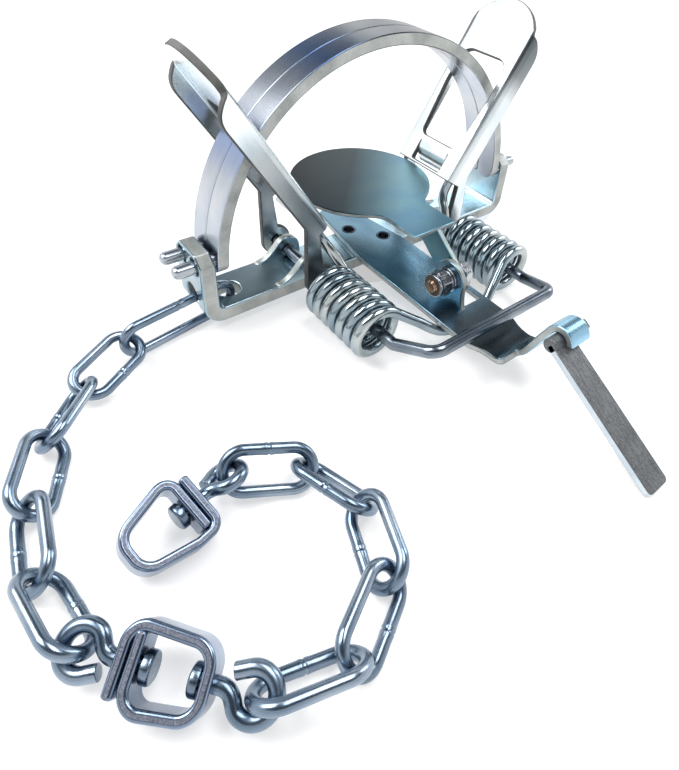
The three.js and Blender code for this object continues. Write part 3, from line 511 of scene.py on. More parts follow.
# Materials
class Nodes:
    """Short names for making a material's nodes and links."""

    def __init__(self, name):
        self.material = bpy.data.materials.new(name)
        self.material.use_nodes = True
        self.tree = self.material.node_tree
        self.tree.nodes.clear()

    def add(self, kind, inputs=(), **settings):
        node = self.tree.nodes.new("ShaderNode" + kind)
        for key, value in settings.items():
            setattr(node, key, value)
        for key, value in dict(inputs).items():
            if isinstance(value, bpy.types.NodeSocket):
                self.tree.links.new(value, node.inputs[key])
            else:
                node.inputs[key].default_value = value
        return node

    def ramp(self, factor, stops):
        node = self.add("ValToRGB", {"Fac": factor})
        elements = node.color_ramp.elements
        while len(elements) < len(stops):
            elements.new(0.5)
        for element, (place, colour) in zip(elements, stops):
            element.position = place
            element.color = (*colour, 1) if hasattr(colour, "__len__") else (colour, colour, colour, 1)
        return node.outputs["Color"]

    def noise(self, vector, scale, detail=3, roughness=0.55):
        inputs = {"Vector": vector, "Scale": scale, "Detail": detail, "Roughness": roughness}
        return self.add("TexNoise", inputs).outputs["Fac"]

    def grain(self):
        return self.add("Attribute", attribute_name="grain").outputs["Vector"]

    def scaled(self, vector, scale):
        return self.add("Mapping", {"Vector": vector, "Scale": scale}).outputs["Vector"]

    def span(self, factor, low, high):
        """From low to high where a noise runs through its middle."""
        ends = {"Value": factor, "From Min": 0.3, "From Max": 0.7, "To Min": low, "To Max": high}
        return self.add("MapRange", ends).outputs[0]

    def bump(self, height, strength, distance=0.0003):
        return self.add("Bump", {"Strength": strength, "Distance": distance, "Height": height}).outputs[0]

    def mix(self, factor, a, b, blend="MIX"):
        return self.add("Mix", {0: factor, 6: a, 7: b}, data_type="RGBA", blend_type=blend).outputs[2]

    def principled(self, base, metallic, roughness, normal):
        return self.finish(self.add("BsdfPrincipled", {
            "Base Color": base, "Metallic": metallic, "Roughness": roughness, "Normal": normal}))

    def finish(self, shader):
        self.add("OutputMaterial", {"Surface": shader.outputs[0]})
        return self.material


def plated(name, dark, light, tint, roughness=(0.25, 0.268), streak=0.06, grit=0.008, reflection_and_tint=None):
    """Zinc-plated steel: cloudy tones and faint rolled or drawn streaks along the grain.

    The last argument is a direction over the grain and stops, each a place along it in mm with a share of the
    colour: a painted reflection and shade along the piece, except on the bolt, where it is the brown of its
    tip."""
    n = Nodes(name)
    grain = n.grain()
    streaks = n.noise(n.scaled(grain, (0.035, 1.1, 0.6)), 1.6, 5, 0.65)
    clouds = n.noise(n.scaled(grain, (0.6, 1, 1)), 0.07, 3, 0.5)
    speckle = n.noise(grain, 2.6, 3, 0.6)
    base = n.ramp(clouds, [(0.34, dark), (0.52, light), (0.68, tint)])
    shade = n.ramp(streaks, [(0.3, 1 - 0.5 * streak), (0.62, 1.0)])
    base = n.mix(1.0, base, shade, "MULTIPLY")
    fleck = n.ramp(speckle, [(0.33, 0.78), (0.5, 1.0)])
    base = n.mix(grit * 2, base, fleck, "MULTIPLY")
    # Painted reflection and shade along the piece, multiplied into the colour; on the bolt, the brown of its
    # tip.
    if reflection_and_tint:
        direction, stops = reflection_and_tint
        place = n.add("VectorMath", {0: grain, 1: direction}, operation="DOT_PRODUCT")
        start, end = stops[0][0], stops[-1][0]
        share = n.add("MapRange", {"Value": place.outputs["Value"], "From Min": start, "From Max": end})
        tones = n.ramp(share.outputs[0], [((at - start) / (end - start), tone) for at, tone in stops])
        base = n.mix(1.0, base, tones, "MULTIPLY")
    bump = n.bump(n.mix(0.35, streaks, speckle), grit, 0.0002)
    return n.principled(base, 1.0, n.span(streaks, *roughness), bump)


def cut_edge(name, dark, light, roughness=(0.32, 0.46), bite=0.15, metal=0.8):
    """A sheared or sawn edge under thin zinc: speckle and tooth marks across it, as deep as bite."""
    n = Nodes(name)
    grain = n.grain()
    speckle = n.noise(grain, 1.9, 4, 0.7)
    clouds = n.noise(grain, 0.12, 2, 0.5)
    teeth = n.noise(n.scaled(grain, (2.2, 0.25, 0.25)), 1.0, 2, 0.6)
    marks = n.mix(0.4, speckle, teeth)
    base = n.ramp(n.mix(min(1.0, 0.25 + bite), clouds, marks), [(0.36, dark), (0.62, light)])
    return n.principled(base, metal, n.span(speckle, *reversed(roughness)), n.bump(marks, bite))


def nylon(name):
    """The amber ring that locks the nut."""
    n = Nodes(name)
    grain = n.grain()
    clouds = n.noise(grain, 0.9, 4, 0.6)
    base = n.ramp(clouds, [(0.35, (0.035, 0.025, 0.018)), (0.65, (0.10, 0.07, 0.045))])
    return n.principled(base, 0.0, 0.45, n.bump(clouds, 0.2, 0.0002))


# Painted reflections and shade: each is a tone over a piece's grain that stands in for what the piece
# mirrors, from left to right in the picture or along the piece. BOLT_FADE alone is a colour of the bolt's
# own, its brown tip.
ACROSS = (0.739, -0.673, 0)
LENGTH = (1, 0, 0)
# Painted reflection on the left lever: darker along its middle, white at the head.
LEVER_PAINTED_REFLECTION = (LENGTH, [(-6, 0.62), (14, 0.62), (24, 0.46), (60, 0.54), (76, 1.0), (95, 1.0)])
# Painted reflection on the right lever: light near the pivot, dark from the window's far end over the head.
RIGHT_LEVER_PAINTED_REFLECTION = (LENGTH, [(-6, 0.9), (24, 0.85), (58, 0.7), (68, 0.26), (80, 0.19), (95, 0.17)])
# Painted reflections along the jaws: dark and blue bands where the hoops mirror their surroundings.
JAW_PAINTED_REFLECTION = (LENGTH, [(0, 0.6), (62, 0.72), (80, 0.18), (122, 0.13), (140, (0.18, 0.27, 0.46)), (152, 0.5),
                     (165, 0.62), (178, (0.4, 0.48, 0.68)), (190, 0.62), (218, 0.66),
                     (230, (0.25, 0.32, 0.5)), (240, (0.3, 0.36, 0.5)), (247, 0.66), (270, 0.55)])
# Painted reflection and shade on the base bar: darker towards both ends and up the uprights.
BAR_PAINTED_REFLECTION = (LENGTH, [(-110, 0.5), (-60, 0.5), (-40, 0.68), (-26, 0.9), (76, 0.9), (88, 0.52), (110, 0.52)])
# Painted reflection and shade on the cross plate: dark at its far end, dark and brownish before the tail's
# bend, lighter up the tail and curl.
CROSS_PAINTED_REFLECTION = (LENGTH, [(0, 0.34), (26, 0.36), (50, 0.55), (80, 0.53), (93, (0.3, 0.22, 0.19)),
                       (112, (0.26, 0.19, 0.16)), (122, 0.45), (150, 0.8)])
# Painted reflection on the pan: almost black at its left across the view, growing lighter to the right.
PAN_PAINTED_REFLECTION = (ACROSS, [(-33, 0.01), (-8, 0.03), (4, 0.14), (14, 0.3), (26, 0.42), (40, 0.43)])
BOLT_FADE = (LENGTH, [(-12, (0.85, 0.55, 0.36)), (-9.5, (0.85, 0.55, 0.36)), (-8, 1.0), (7, 1.0)])

LEVER_TONES = ((0.72, 0.82, 0.87), (0.88, 0.95, 0.98), (0.93, 0.98, 1.0))
JAW_TONES = ((0.52, 0.57, 0.66), (0.64, 0.69, 0.77), (0.74, 0.76, 0.81))
PAN_TONES = ((0.36, 0.73, 1.0), (0.45, 0.85, 1.0), (0.51, 0.90, 1.0))
CHAIN_TONES = ((0.115, 0.16, 0.215), (0.205, 0.265, 0.34), (0.32, 0.375, 0.44))
SPRING_TONES = ((0.17, 0.225, 0.265), (0.30, 0.36, 0.395), (0.42, 0.45, 0.445))
BOLT_TONES = ((0.24, 0.25, 0.27), (0.42, 0.43, 0.45), (0.58, 0.59, 0.61))
LEVER_ZINC = plated("lever_zinc", *LEVER_TONES, reflection_and_tint=LEVER_PAINTED_REFLECTION)
# The right lever's copy of the lever zinc, different only in its painted reflection.
RIGHT_LEVER_REFLECTION_ZINC = plated("right_lever_painted_reflection", *LEVER_TONES, reflection_and_tint=RIGHT_LEVER_PAINTED_REFLECTION)
JAW_ZINC = plated("jaw_zinc", *JAW_TONES, streak=0.12, reflection_and_tint=JAW_PAINTED_REFLECTION)
BAR_ZINC = plated("bar_zinc", (0.47, 0.66, 0.77), (0.63, 0.81, 0.90), (0.71, 0.88, 0.96), reflection_and_tint=BAR_PAINTED_REFLECTION)
CROSS_ZINC = plated("cross_zinc", (0.30, 0.54, 0.73), (0.42, 0.71, 0.92), (0.50, 0.80, 0.97), reflection_and_tint=CROSS_PAINTED_REFLECTION)
PAN_ZINC = plated("pan_zinc", *PAN_TONES, (0.28, 0.32), reflection_and_tint=PAN_PAINTED_REFLECTION)
CHAIN_ZINC = plated("chain_zinc", *CHAIN_TONES, (0.18, 0.34))
SPRING_STEEL = plated("spring_steel", *SPRING_TONES, (0.12, 0.26))
ROD_ZINC = plated("rod_zinc", (0.09, 0.11, 0.14), (0.17, 0.20, 0.235), (0.28, 0.31, 0.34), (0.2, 0.26))
BOLT_ZINC = plated("bolt_zinc", *BOLT_TONES, (0.16, 0.3), reflection_and_tint=BOLT_FADE)
BRIGHT_ZINC = plated("bright_zinc", (0.20, 0.21, 0.23), (0.34, 0.35, 0.38), (0.52, 0.53, 0.56), (0.12, 0.28))
STRIP_ZINC = plated("strip_zinc", (0.135, 0.18, 0.25), (0.21, 0.265, 0.36), (0.27, 0.325, 0.43), (0.22, 0.27))
DOG_SIDE = plated("dog_side", (0.46, 0.52, 0.58), (0.56, 0.62, 0.67), (0.64, 0.68, 0.72), (0.32, 0.36))
SHEARED = cut_edge("sheared_edge", (0.27, 0.29, 0.28), (0.47, 0.48, 0.46))
LEVER_EDGE = cut_edge("lever_edge", (0.05, 0.05, 0.05), (0.13, 0.13, 0.12), (0.6, 0.75), metal=0.0)
DOG_ZINC = cut_edge("dog_zinc", (0.06, 0.065, 0.07), (0.21, 0.22, 0.23), (0.4, 0.55), 0.6)
SAWN = cut_edge("sawn_edge", (0.05, 0.06, 0.08), (0.24, 0.25, 0.31), (0.35, 0.55), 0.7)
# Painted shade: a near-black finish for the rivets' bore walls, where the recess lies in shade.
SHADED = cut_edge("painted_shade_bore", (0.01, 0.015, 0.02), (0.05, 0.06, 0.08), bite=0.3)
NYLON = nylon("amber_nylon")


# Pieces
def placed(name, data):
    """A new object in the scene."""
    obj = bpy.data.objects.new(name, data)
    bpy.context.scene.collection.objects.link(obj)
    return obj


def flat_regions(bm):
    """The area of the flat region that each face belongs to."""
    parent = list(range(len(bm.faces)))

    def root(i):
        while parent[i] != i:
            parent[i] = parent[parent[i]]
            i = parent[i]
        return i

    for edge in bm.edges:
        if len(edge.link_faces) == 2 and edge.calc_face_angle(1) < FLAT_ANGLE:
            a, b = (root(face.index) for face in edge.link_faces)
            parent[a] = b
    total = np.zeros(len(bm.faces))
    roots = [root(face.index) for face in bm.faces]
    for face, top in zip(bm.faces, roots):
        total[top] += face.calc_area()
    return total[roots]


def shaded_normals(bm):
    """A normal for each point, in which the larger flat regions count for most, so that they shade flat."""
    area = flat_regions(bm)
    normals = []
    for vert in bm.verts:
        normal = Vector((0, 0, 0))
        for loop in vert.link_loops:
            normal += loop.face.normal * (loop.calc_angle() * area[loop.face.index])
        normals.append(tuple(normal.normalized()))
    return normals


def piece(name, shape, node, material, edge=None):
    """Makes the object, which replaces its CAD node. edge is for cut faces."""
    mesh = bpy.data.meshes.new(name)
    mesh.from_pydata((shape.points * MM).tolist(), [], shape.faces)
    mesh.attributes.new("grain", "FLOAT_VECTOR", "POINT").data.foreach_set("vector", shape.grain.ravel())
    mesh.materials.append(material)
    if edge is not None:
        mesh.materials.append(edge)
        mesh.polygons.foreach_set("material_index", shape.cut)
    bm = bmesh.new()
    bm.from_mesh(mesh)
    bmesh.ops.recalc_face_normals(bm, faces=bm.faces)
    bm.normal_update()
    normals = shaded_normals(bm)
    bm.to_mesh(mesh)
    bm.free()
    mesh.polygons.foreach_set("use_smooth", [True] * len(mesh.polygons))
    mesh.normals_split_custom_set_from_vertices(normals)
    obj = placed(name, mesh)
    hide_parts(node)
    return obj


def rigid(name, shape, node, material, edge=None):
    """A piece that moves as one solid with its node's body."""
    obj = piece(name, shape, node, material, edge)
    body = frame["nodes"][node]["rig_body"]
    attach(obj, body)


# Base bar: a flat pattern bent up at both ends, with an ear at each corner of the rod
def bar_place(s, w, t):
    flat = BASE_END - BASE_BEND
    middle = BASE_BEND - BASE_THICK / 2
    side, reach = math.copysign(1, s), abs(s) - flat
    if reach <= 0:
        return (s, w, BASE_THICK / 2 + t)
    if reach < middle * pi / 2:
        a = reach / middle
        return (side * (flat + (middle - t) * sin(a)), w, BASE_BEND - (middle - t) * cos(a))
    return (side * (BASE_END - BASE_THICK / 2 - t), w, BASE_BEND + reach - middle * pi / 2)


def base_bar():
    flat = BASE_END - BASE_BEND
    bend = (BASE_BEND - BASE_THICK / 2) * pi / 2
    reach, side, cut = flat + bend + UPRIGHT_HEIGHT - BASE_BEND, BASE_WIDTH / 2, UPRIGHT_CHAMFER
    corners = [(reach, side - cut), (reach - cut, side), (cut - reach, side), (-reach, side - cut)]
    corners += [(x, -y) for x, y in reversed(corners)]
    upright = flat + bend - BASE_BEND
    holes = [circle(end * (upright + JAW_HINGE_Z), y, TANG_HOLE)
             for end in (-1, 1) for y in (-JAW_HINGE_Y, JAW_HINGE_Y)]
    holes += [circle(-upright - ANCHOR_HEIGHT, 0, ANCHOR_HOLE), circle(BASE_HOLE_X, 0, ANCHOR_HOLE)]
    half = BASE_THICK / 2
    pattern = plate(fillet(corners, 1.2), holes, -half, half, 0.7, 4)
    cuts = [(0, end * (flat + bend * k / 10)) for end in (-1, 1) for k in range(11)]
    shape = folded(pattern, cuts, bar_place)
    for end in (-1, 1):
        for y in (GAP - side, side - EAR_THICK - GAP):
            shape += ear(end).moved(Matrix.Translation((0, y, 0)) @ SIDEWAYS)
    return shape


def ear(end):
    """One ear: a tab with a round top and a long foot, as X and Z, from nought to its thickness."""
    top = arc(0, PIVOT_Z, EAR_RADIUS, 180, 45, 14)
    foot = bezier(top[-1], (9, PIVOT_Z - 1.5), (11, BASE_THICK + 0.6), (EAR_BACK, BASE_THICK), 8)
    outline = [(-EAR_RADIUS, 2)] + top + foot[1:] + [(EAR_BACK, 2)]
    outline = [(end * (PIVOT_X + u), v) for u, v in outline]
    return plate(outline, [circle(end * PIVOT_X, PIVOT_Z, ROD_HOLE)], 0, EAR_THICK, 0.5)


# Jaws: a flat hoop with a tang at each end
def jaw(side):
    middle = JAW_OUTER - JAW_THICK / 2
    foot = JAW_HINGE_Z - JAW_WIDTH / 2
    low = [(middle, foot + (JAW_CENTRE - foot) * (1 - cos(a))) for a in np.linspace(0.05, 1.5, 5)]
    path = low + arc(0, JAW_CENTRE, middle, 0, 180, 120) + [(-x, z) for x, z in reversed(low)]
    path = np.array([(x, side * JAW_HINGE_Y, z) for x, z in path])
    drop = np.clip(JAW_HINGE_Z - path[:, 2], 0, JAW_WIDTH / 2)
    half = np.sqrt((JAW_WIDTH / 2) ** 2 - drop ** 2)
    inner = np.minimum(half + 1, JAW_HINGE_Y - JAW_SEAM)
    left, right = (-inner, half) if side > 0 else (-half, inner)
    shape = strip(path, left, right, JAW_THICK, (0, 1, 0), 0.4, ends=False)
    for end in (-1, 1):
        reach = (middle - TANG_ROOT, middle + 4, TANG_END)
        tang = [(end * x, side * JAW_HINGE_Y, JAW_HINGE_Z) for x in reach]
        shape += strip(tang, -TANG_WIDTH / 2, TANG_WIDTH / 2, JAW_THICK, (0, 1, 0), TANG_EDGE)
    return shape


# Levers: a flat pattern whose long edges fold down to flanges. In its frame X runs out from the pivot
FOLD_FLAT = LEVER_HALF - FOLD_RADIUS
FOLD_MIDDLE = FOLD_RADIUS - LEVER_THICK / 2
FOLD_LENGTH = FOLD_MIDDLE * pi / 2
FLANGE_TOP = LEVER_TOP - FOLD_RADIUS


def flange_u(n):
    return FOLD_FLAT + FOLD_LENGTH + FLANGE_TOP - n


def lever_place(s, u, t):
    side, reach = math.copysign(1, u), abs(u) - FOLD_FLAT
    if reach <= 0:
        return (s, u, LEVER_TOP - LEVER_THICK / 2 + t)
    if reach < FOLD_LENGTH:
        a, r = reach / FOLD_MIDDLE, FOLD_MIDDLE + t
        return (s, side * (FOLD_FLAT + r * sin(a)), FLANGE_TOP + r * cos(a))
    return (s, side * (FOLD_FLAT + FOLD_MIDDLE + t), FLANGE_TOP - (reach - FOLD_LENGTH))


def lever_outline():
    """Half of the flat pattern, from the plate's start round the tongue and the flange to the head's tip."""
    hook = [(LEVER_START, 0), (LEVER_START, flange_u(FLANGE_EDGE + 3))]
    tongue = [(s, flange_u(n)) for s, n in arc(0, 0, TONGUE_RADIUS, *TONGUE_ANGLES, 24)]
    edge = flange_u(FLANGE_EDGE)
    toe = [(LEVER_START + 6, edge), (FLANGE_END - 8, edge)]
    end = bezier((FLANGE_END - 6, edge), (FLANGE_END, edge), (FLANGE_END + 1, edge - 3),
                 (FLANGE_END + 3.6, FOLD_FLAT + 1.4))
    head = [p for p in arc(HEAD_CENTRE, 0, LEVER_HALF, 90, 0, 40) if p[0] > FLANGE_END + 5]
    return hook + tongue + toe + end + head


def lever_shape():
    half = lever_outline()
    outline = half + [(s, -u) for s, u in reversed(half[1:-1])]
    side = [(WINDOW_START, WINDOW_FOOT_HALF), (WINDOW_START + WINDOW_WIDENS, WINDOW_HALF),
            (WINDOW_END, WINDOW_HALF)]
    window = fillet([(s, -u) for s, u in side] + side[::-1], [3, 20, 5.5, 5.5, 20, 3])
    slot = fillet([(LOUVER_TOP - LOUVER_LENGTH, -LOUVER_HALF), (LOUVER_TOP, -LOUVER_HALF),
                   (LOUVER_TOP, LOUVER_HALF), (LOUVER_TOP - LOUVER_LENGTH, LOUVER_HALF)], 0.6)
    pivot = flange_u(0)
    holes = [window, slot, circle(0, pivot, ROD_HOLE), circle(0, -pivot, ROD_HOLE)]
    pattern = plate(outline, holes, -LEVER_THICK / 2, LEVER_THICK / 2, SHEET_EDGE, rim=True)
    cuts = [(1, end * (FOLD_FLAT + FOLD_LENGTH * k / 8)) for end in (-1, 1) for k in range(9)]
    shape = folded(pattern, cuts, lever_place)
    middle = LEVER_TOP - LEVER_THICK / 2
    scoop = [(LOUVER_TOP + 1, middle)] + arc(LOUVER_TOP, middle - LOUVER_RADIUS, LOUVER_RADIUS, 90, 165, 16)
    path = [(s, 0, n) for s, n in scoop]
    return shape + strip(path, -LOUVER_HALF, LOUVER_HALF, LEVER_THICK, (0, 1, 0), SHEET_EDGE)


def lever_matrix(side):
    c, s = cos(LEVER_ANGLE), sin(LEVER_ANGLE)
    return Matrix(((side * c, 0, -side * s, side * PIVOT_X), (0, side, 0, 0),
                   (s, 0, c, PIVOT_Z), (0, 0, 0, 1)))


# Springs: wound round the rod's arm, one leg under the lever and one foot on the cross plate
def lever_point(out, height, y):
    c, s = cos(LEVER_ANGLE), sin(LEVER_ANGLE)
    return (PIVOT_X + out * c - height * s, y, PIVOT_Z + out * s + height * c)


def spring_path():
    leg_height = LEVER_TOP - LEVER_THICK - SPRING_GAP - SPRING_WIRE
    leg_y = LEVER_THICK + SPRING_GAP + SPRING_WIRE - LEVER_HALF
    turn = SPRING_TURNS * 2 * pi + (pi / 2 - LEVER_ANGLE) - math.radians(45)
    far_y = turn * SPRING_PITCH / (2 * pi) + SPRING_NEAR_Y
    angles = pi / 2 + LEVER_ANGLE + np.linspace(0, turn, SPRING_POINTS)
    coil = turned(0, SPRING_RADIUS, angles)[:, (1, 0, 2)] + (PIVOT_X, 0, SPRING_AXIS_Z)
    coil[:, 1] = np.linspace(far_y, SPRING_NEAR_Y, SPRING_POINTS)
    leg = [(LEG_END, 0, leg_y), (LEG_MIDDLE, 0, leg_y), (LEG_CROSS, SPRING_GAP, leg_y),
           (LEG_CROSS / 2, SPRING_WIRE / 2, (leg_y + far_y) / 2),
           (SPRING_WIRE / 2, SPRING_WIRE, far_y + SPRING_PITCH / 8)]
    leg = curve([lever_point(out, leg_height - dip, y) for out, dip, y in leg] + [coil[0]])
    foot_z = BASE_THICK - FOOT_DROP - SPRING_WIRE
    entry = np.array([*FOOT_ENTRY, foot_z])
    foot = curve([coil[-1], (coil[-1] + entry) / 2, entry, (*FOOT_END, foot_z)])
    return np.vstack([leg[:-1], coil, foot[1:]])


def spring_rod():
    half = [(PIVOT_X, ROD_TIP_Y, ROD_TIP_Z), (PIVOT_X, ROD_TIP_Y, PIVOT_Z), (PIVOT_X, ROD_ARM_Y, PIVOT_Z),
            (ROD_BAR_X, ROD_BAR_Y, ROD_BAR_Z)]
    corners = half + [(-x, y, z) for x, y, z in reversed(half)]
    path = fillet(corners, ROD_BEND, 12, closed=False)
    return wire(path, ROD_RADIUS, 28, chamfer=0.5)


# Cross plate: a flat pattern bent up at the tail and curled round the dog's pin
def cross_line():
    """The middle line as (y, z), by running length."""
    z = CROSS_TOP - CROSS_THICK / 2
    angle = math.degrees(TAIL_ANGLE)
    bend = arc(TAIL_Y, z + TAIL_BEND, TAIL_BEND, -90, -90 - angle, TAIL_STEPS)
    c, s = cos(TAIL_ANGLE), sin(TAIL_ANGLE)
    top = (bend[-1][0] - TAIL_LENGTH * c, bend[-1][1] + TAIL_LENGTH * s)
    pin = (top[0] - CURL_RADIUS * s, top[1] - CURL_RADIUS * c)
    return [(CROSS_FAR_Y, z)] + bend + arc(*pin, CURL_RADIUS, 90 - angle, 178, 30)


def cross_plate():
    line, _, run = along(cross_line())
    tangents = np.gradient(line, run, axis=0)
    tangents /= np.linalg.norm(tangents, axis=1)[:, None]
    tangents[0] = (-1, 0)

    def place(s, x, t):
        y, z, dy, dz = (np.interp(s, run, values) for values in (*line.T, *tangents.T))
        size = math.hypot(dy, dz)
        return (x, y + t * dz / size, z - t * dy / size)

    tail, shoulder = CROSS_FAR_Y - TAIL_Y, run[TAIL_STEPS + 1] - TAIL_SHOULDER
    wide, narrow = CROSS_FAR_Y - CROSS_WIDE_Y, CROSS_FAR_Y - CROSS_NARROW_Y
    mid = (narrow + tail) / 2
    ease = bezier((narrow, CROSS_HALF), (mid, CROSS_HALF), (mid, CROSS_TAIL_HALF), (tail, CROSS_TAIL_HALF))
    side = [(0, CROSS_FAR_HALF), (wide, CROSS_HALF)] + ease + [(shoulder, CROSS_TAIL_HALF)]
    side_radii = [3, 12] + [0] * len(ease) + [2]
    right = [(shoulder, CURL_RIGHT), (run[-1], CURL_RIGHT)]
    left = [(run[-1], CURL_LEFT), (shoulder, CURL_LEFT)]
    corners = side + right + left + [(s, -u) for s, u in reversed(side)]
    radii = side_radii + [0.8, 0.6, 0.6, 0.8] + side_radii[::-1]
    start, end = CROSS_FAR_Y - BOLT_Y - SLOT_HALF, CROSS_FAR_Y - BOLT_Y + SLOT_HALF
    near, far = SLOT_SIDES
    slot = fillet([(start, near), (end, near), (end, far), (start, far)], 1)
    half = CROSS_THICK / 2
    bores = [circle(CROSS_FAR_Y - y, x, RIVET_BORE) for x, y in RIVETS]
    pattern = plate(fillet(corners, radii), [slot] + bores, -half, half, SHEET_EDGE)
    shape = folded(pattern, [(0, s) for s in run[1:-1]], place)
    return shape + cross_ear().moved(Matrix.Translation((-2, 0, 0)) @ LENGTHWAYS)


def cross_ear():
    """The lanced ear that carries the bolt, as Y and Z, from nought to its thickness."""
    root, foot, radius = BASE_THICK + 1, 11, 7.5
    up = bezier((BOLT_Y + foot, root), (BOLT_Y + radius + 0.5, root + 1), (BOLT_Y + radius, BOLT_Z - 5),
                (BOLT_Y + radius, BOLT_Z))
    down = [(2 * BOLT_Y - y, z) for y, z in reversed(up)]
    outline = up + arc(BOLT_Y, BOLT_Z, radius, 0, 180, 30)[1:-1] + down
    return plate(outline, [circle(BOLT_Y, BOLT_Z, BOLT_HOLE)], 0, CROSS_THICK, SHEET_EDGE)


def rivet(x, y):
    """A hollow rivet, seen as a ring flush with the cross plate, with its head under the bar."""
    head, shank, top = RIVET_HEAD, RIVET_SHANK, CROSS_TOP
    profile = [(0.01, GROUND), (head - 0.9, GROUND), (head - 0.3, GROUND + 0.4), (head, GROUND + 1.2),
               (head, -0.1), (shank, -0.1), (shank, top - 0.1), (shank - 0.15, top + 0.1),
               (shank - 0.3, top + 0.1), (shank - 0.5, top - 0.2), (shank - 0.6, BASE_THICK + 0.3),
               (0.01, BASE_THICK + 0.15)]
    shape = lathe(profile)
    # The bore's inner walls take the painted shade of the recess.
    walls = (len(profile) - 3, len(profile) - 2)
    shape.cut = [int(face[0] // LATHE_SIDES in walls) for face in shape.faces]
    return shape.moved(Matrix.Translation((x, y, 0)) @ Matrix.Rotation(-pi / 2, 4, "Y"))


# Bolt, nut and washers, along X
def hexagon(reach, low, high, bore=0):
    """A hexagonal prism along X, with its corners turned off at both ends."""
    angles, chamfer = round_angles(2 * LATHE_SIDES), np.linspace(0, 1, 7)
    to_flat, slope = reach * cos(pi / 6), 1.7
    flat = to_flat / np.cos((angles + pi / 6) % (pi / 3) - pi / 6)
    rings = []
    for x in (*(low + chamfer), *(high - chamfer[::-1])):
        cone = to_flat * 0.97 + min(x - low, high - x) * slope
        rings.append(turned(x, np.minimum(flat, cone), angles))
    if bore:
        rings += [turned(high, bore, angles), turned(low, bore, angles)]
    return loft(rings, closed=bool(bore))


def thread(low, high):
    """A screw thread along X with a chamfered tip at its low end."""
    angles = round_angles(40)
    rings = []
    for x in np.arange(low, high, BOLT_PITCH / 8):
        phase = (x / BOLT_PITCH - angles / (2 * pi)) % 1
        groove = THREAD_DEPTH * (1 - np.abs(2 * phase - 1)) ** 1.2
        rings.append(turned(x, np.minimum(BOLT_RADIUS - groove, BOLT_RADIUS - 0.6 + (x - low)), angles))
    return loft(rings)


def washer(inner, outer, low, high):
    edge = WASHER_EDGE
    return lathe([(inner, low), (outer - edge, low), (outer, low + edge), (outer, high - edge),
                  (outer - edge, high), (inner, high)], 64, closed=True)


AT_BOLT = Matrix.Translation((0, BOLT_Y, BOLT_Z))


def pan_nut():
    """The nut, and the collar that holds its nylon ring."""
    bore, radius, (low, high) = COLLAR_BORE, COLLAR_RADIUS, COLLAR_ENDS
    collar = lathe([(bore, low), (radius - 0.35, low), (radius, low + 0.4), (radius, high), (bore, high)], 64,
                   closed=True)
    return hexagon(*NUT, BOLT_RADIUS) + collar


# Pan and its arm
def pan():
    half = math.asin(PAN_TAB_HALF / PAN_RADIUS)
    neck = PAN_Y - PAN_RADIUS * cos(half)
    spread = math.degrees(half + PAN_NECK / PAN_RADIUS)
    disc = arc(0, PAN_Y, PAN_RADIUS, spread - 90, 270 - spread, 120)
    right = [(PAN_TAB_HALF, PAN_TAB_Y)]
    right += bezier((PAN_TAB_HALF, neck - PAN_NECK), (PAN_TAB_HALF, neck - 2),
                    (PAN_TAB_HALF + 1, neck + 0.4), disc[0])
    left = [(-x, y) for x, y in reversed(right)]
    outline = right[:-1] + disc + left[1:]
    top = plate(outline, [], PAN_Z, PAN_Z + PAN_THICK, 0.3)
    arm_top = PAN_Z + PAN_THICK / 2
    arm = [(PAN_ARM_Y, arm_top), (PAN_TAB_Y, arm_top), (BOLT_Y - PAN_ARM_RADIUS, BOLT_Z)]
    arm += arc(BOLT_Y, BOLT_Z, PAN_ARM_RADIUS, 180, 315, 24)[1:]
    side = plate(arm, [circle(BOLT_Y, BOLT_Z, BOLT_HOLE)], *PAN_ARM, 0.4)
    side.grain[:, 0] += PAN_TAB_AT
    return top + side.moved(LENGTHWAYS)


# Dog, in its own frame: Y runs out along the blade, X along the pin
def dog_shape():
    half = DOG_THICK / 2
    corners = [(DOG_LEFT, 0), (DOG_RIGHT, 0), (DOG_RIGHT, DOG_LENGTH), (DOG_LEFT, DOG_LENGTH)]
    blade = plate(fillet(corners, [0, 0, 1.6, 1.6]), [], -half, half, 0.3)
    slim = PIN_RADIUS - PIN_EDGE
    pin = lathe([(0.01, DOG_LEFT), (slim, DOG_LEFT), (PIN_RADIUS, DOG_LEFT + PIN_EDGE),
                 (PIN_RADIUS, PIN_RIGHT - PIN_EDGE), (slim, PIN_RIGHT), (0.01, PIN_RIGHT)])
    line = [(PIN_RIGHT + x, 0, 0) for x in (-1, 1, 3)]
    stub = strip(line, -STUB_HALF, STUB_HALF, 2 * STUB_HALF, (0, 1, 0), PIN_EDGE)
    return blade + pin + stub


# Chain
def node_axes(node):
    """The middle of a CAD node in millimetres, its longest and shortest axes, and half its length and width.

    The shortest axis points up."""
    co = np.array([v.co for v in frame["nodes"][node].data.vertices], float) / MM
    co = np.unique(np.round(co, 3), axis=0)
    centre = co.mean(0)
    _, axes = np.linalg.eigh(np.cov((co - centre).T))
    if axes[2, 0] < 0:
        axes[:, 0] *= -1
    local = (co - centre) @ axes
    low, high = local.min(0), local.max(0)
    thin, _, long = axes.T
    return centre + axes @ ((low + high) / 2), long, thin, (high[2] - low[2]) / 2, (high[1] - low[1]) / 2


def axes_matrix(centre, x, z):
    """A frame at the centre, with X along x and Z as near to z as it can be."""
    z = z - x * np.dot(x, z)
    z = z / np.linalg.norm(z)
    y = np.cross(z, x)
    matrix = np.eye(4)
    matrix[:3, 0], matrix[:3, 1], matrix[:3, 2], matrix[:3, 3] = x, y, z, centre
    return Matrix(matrix.tolist())


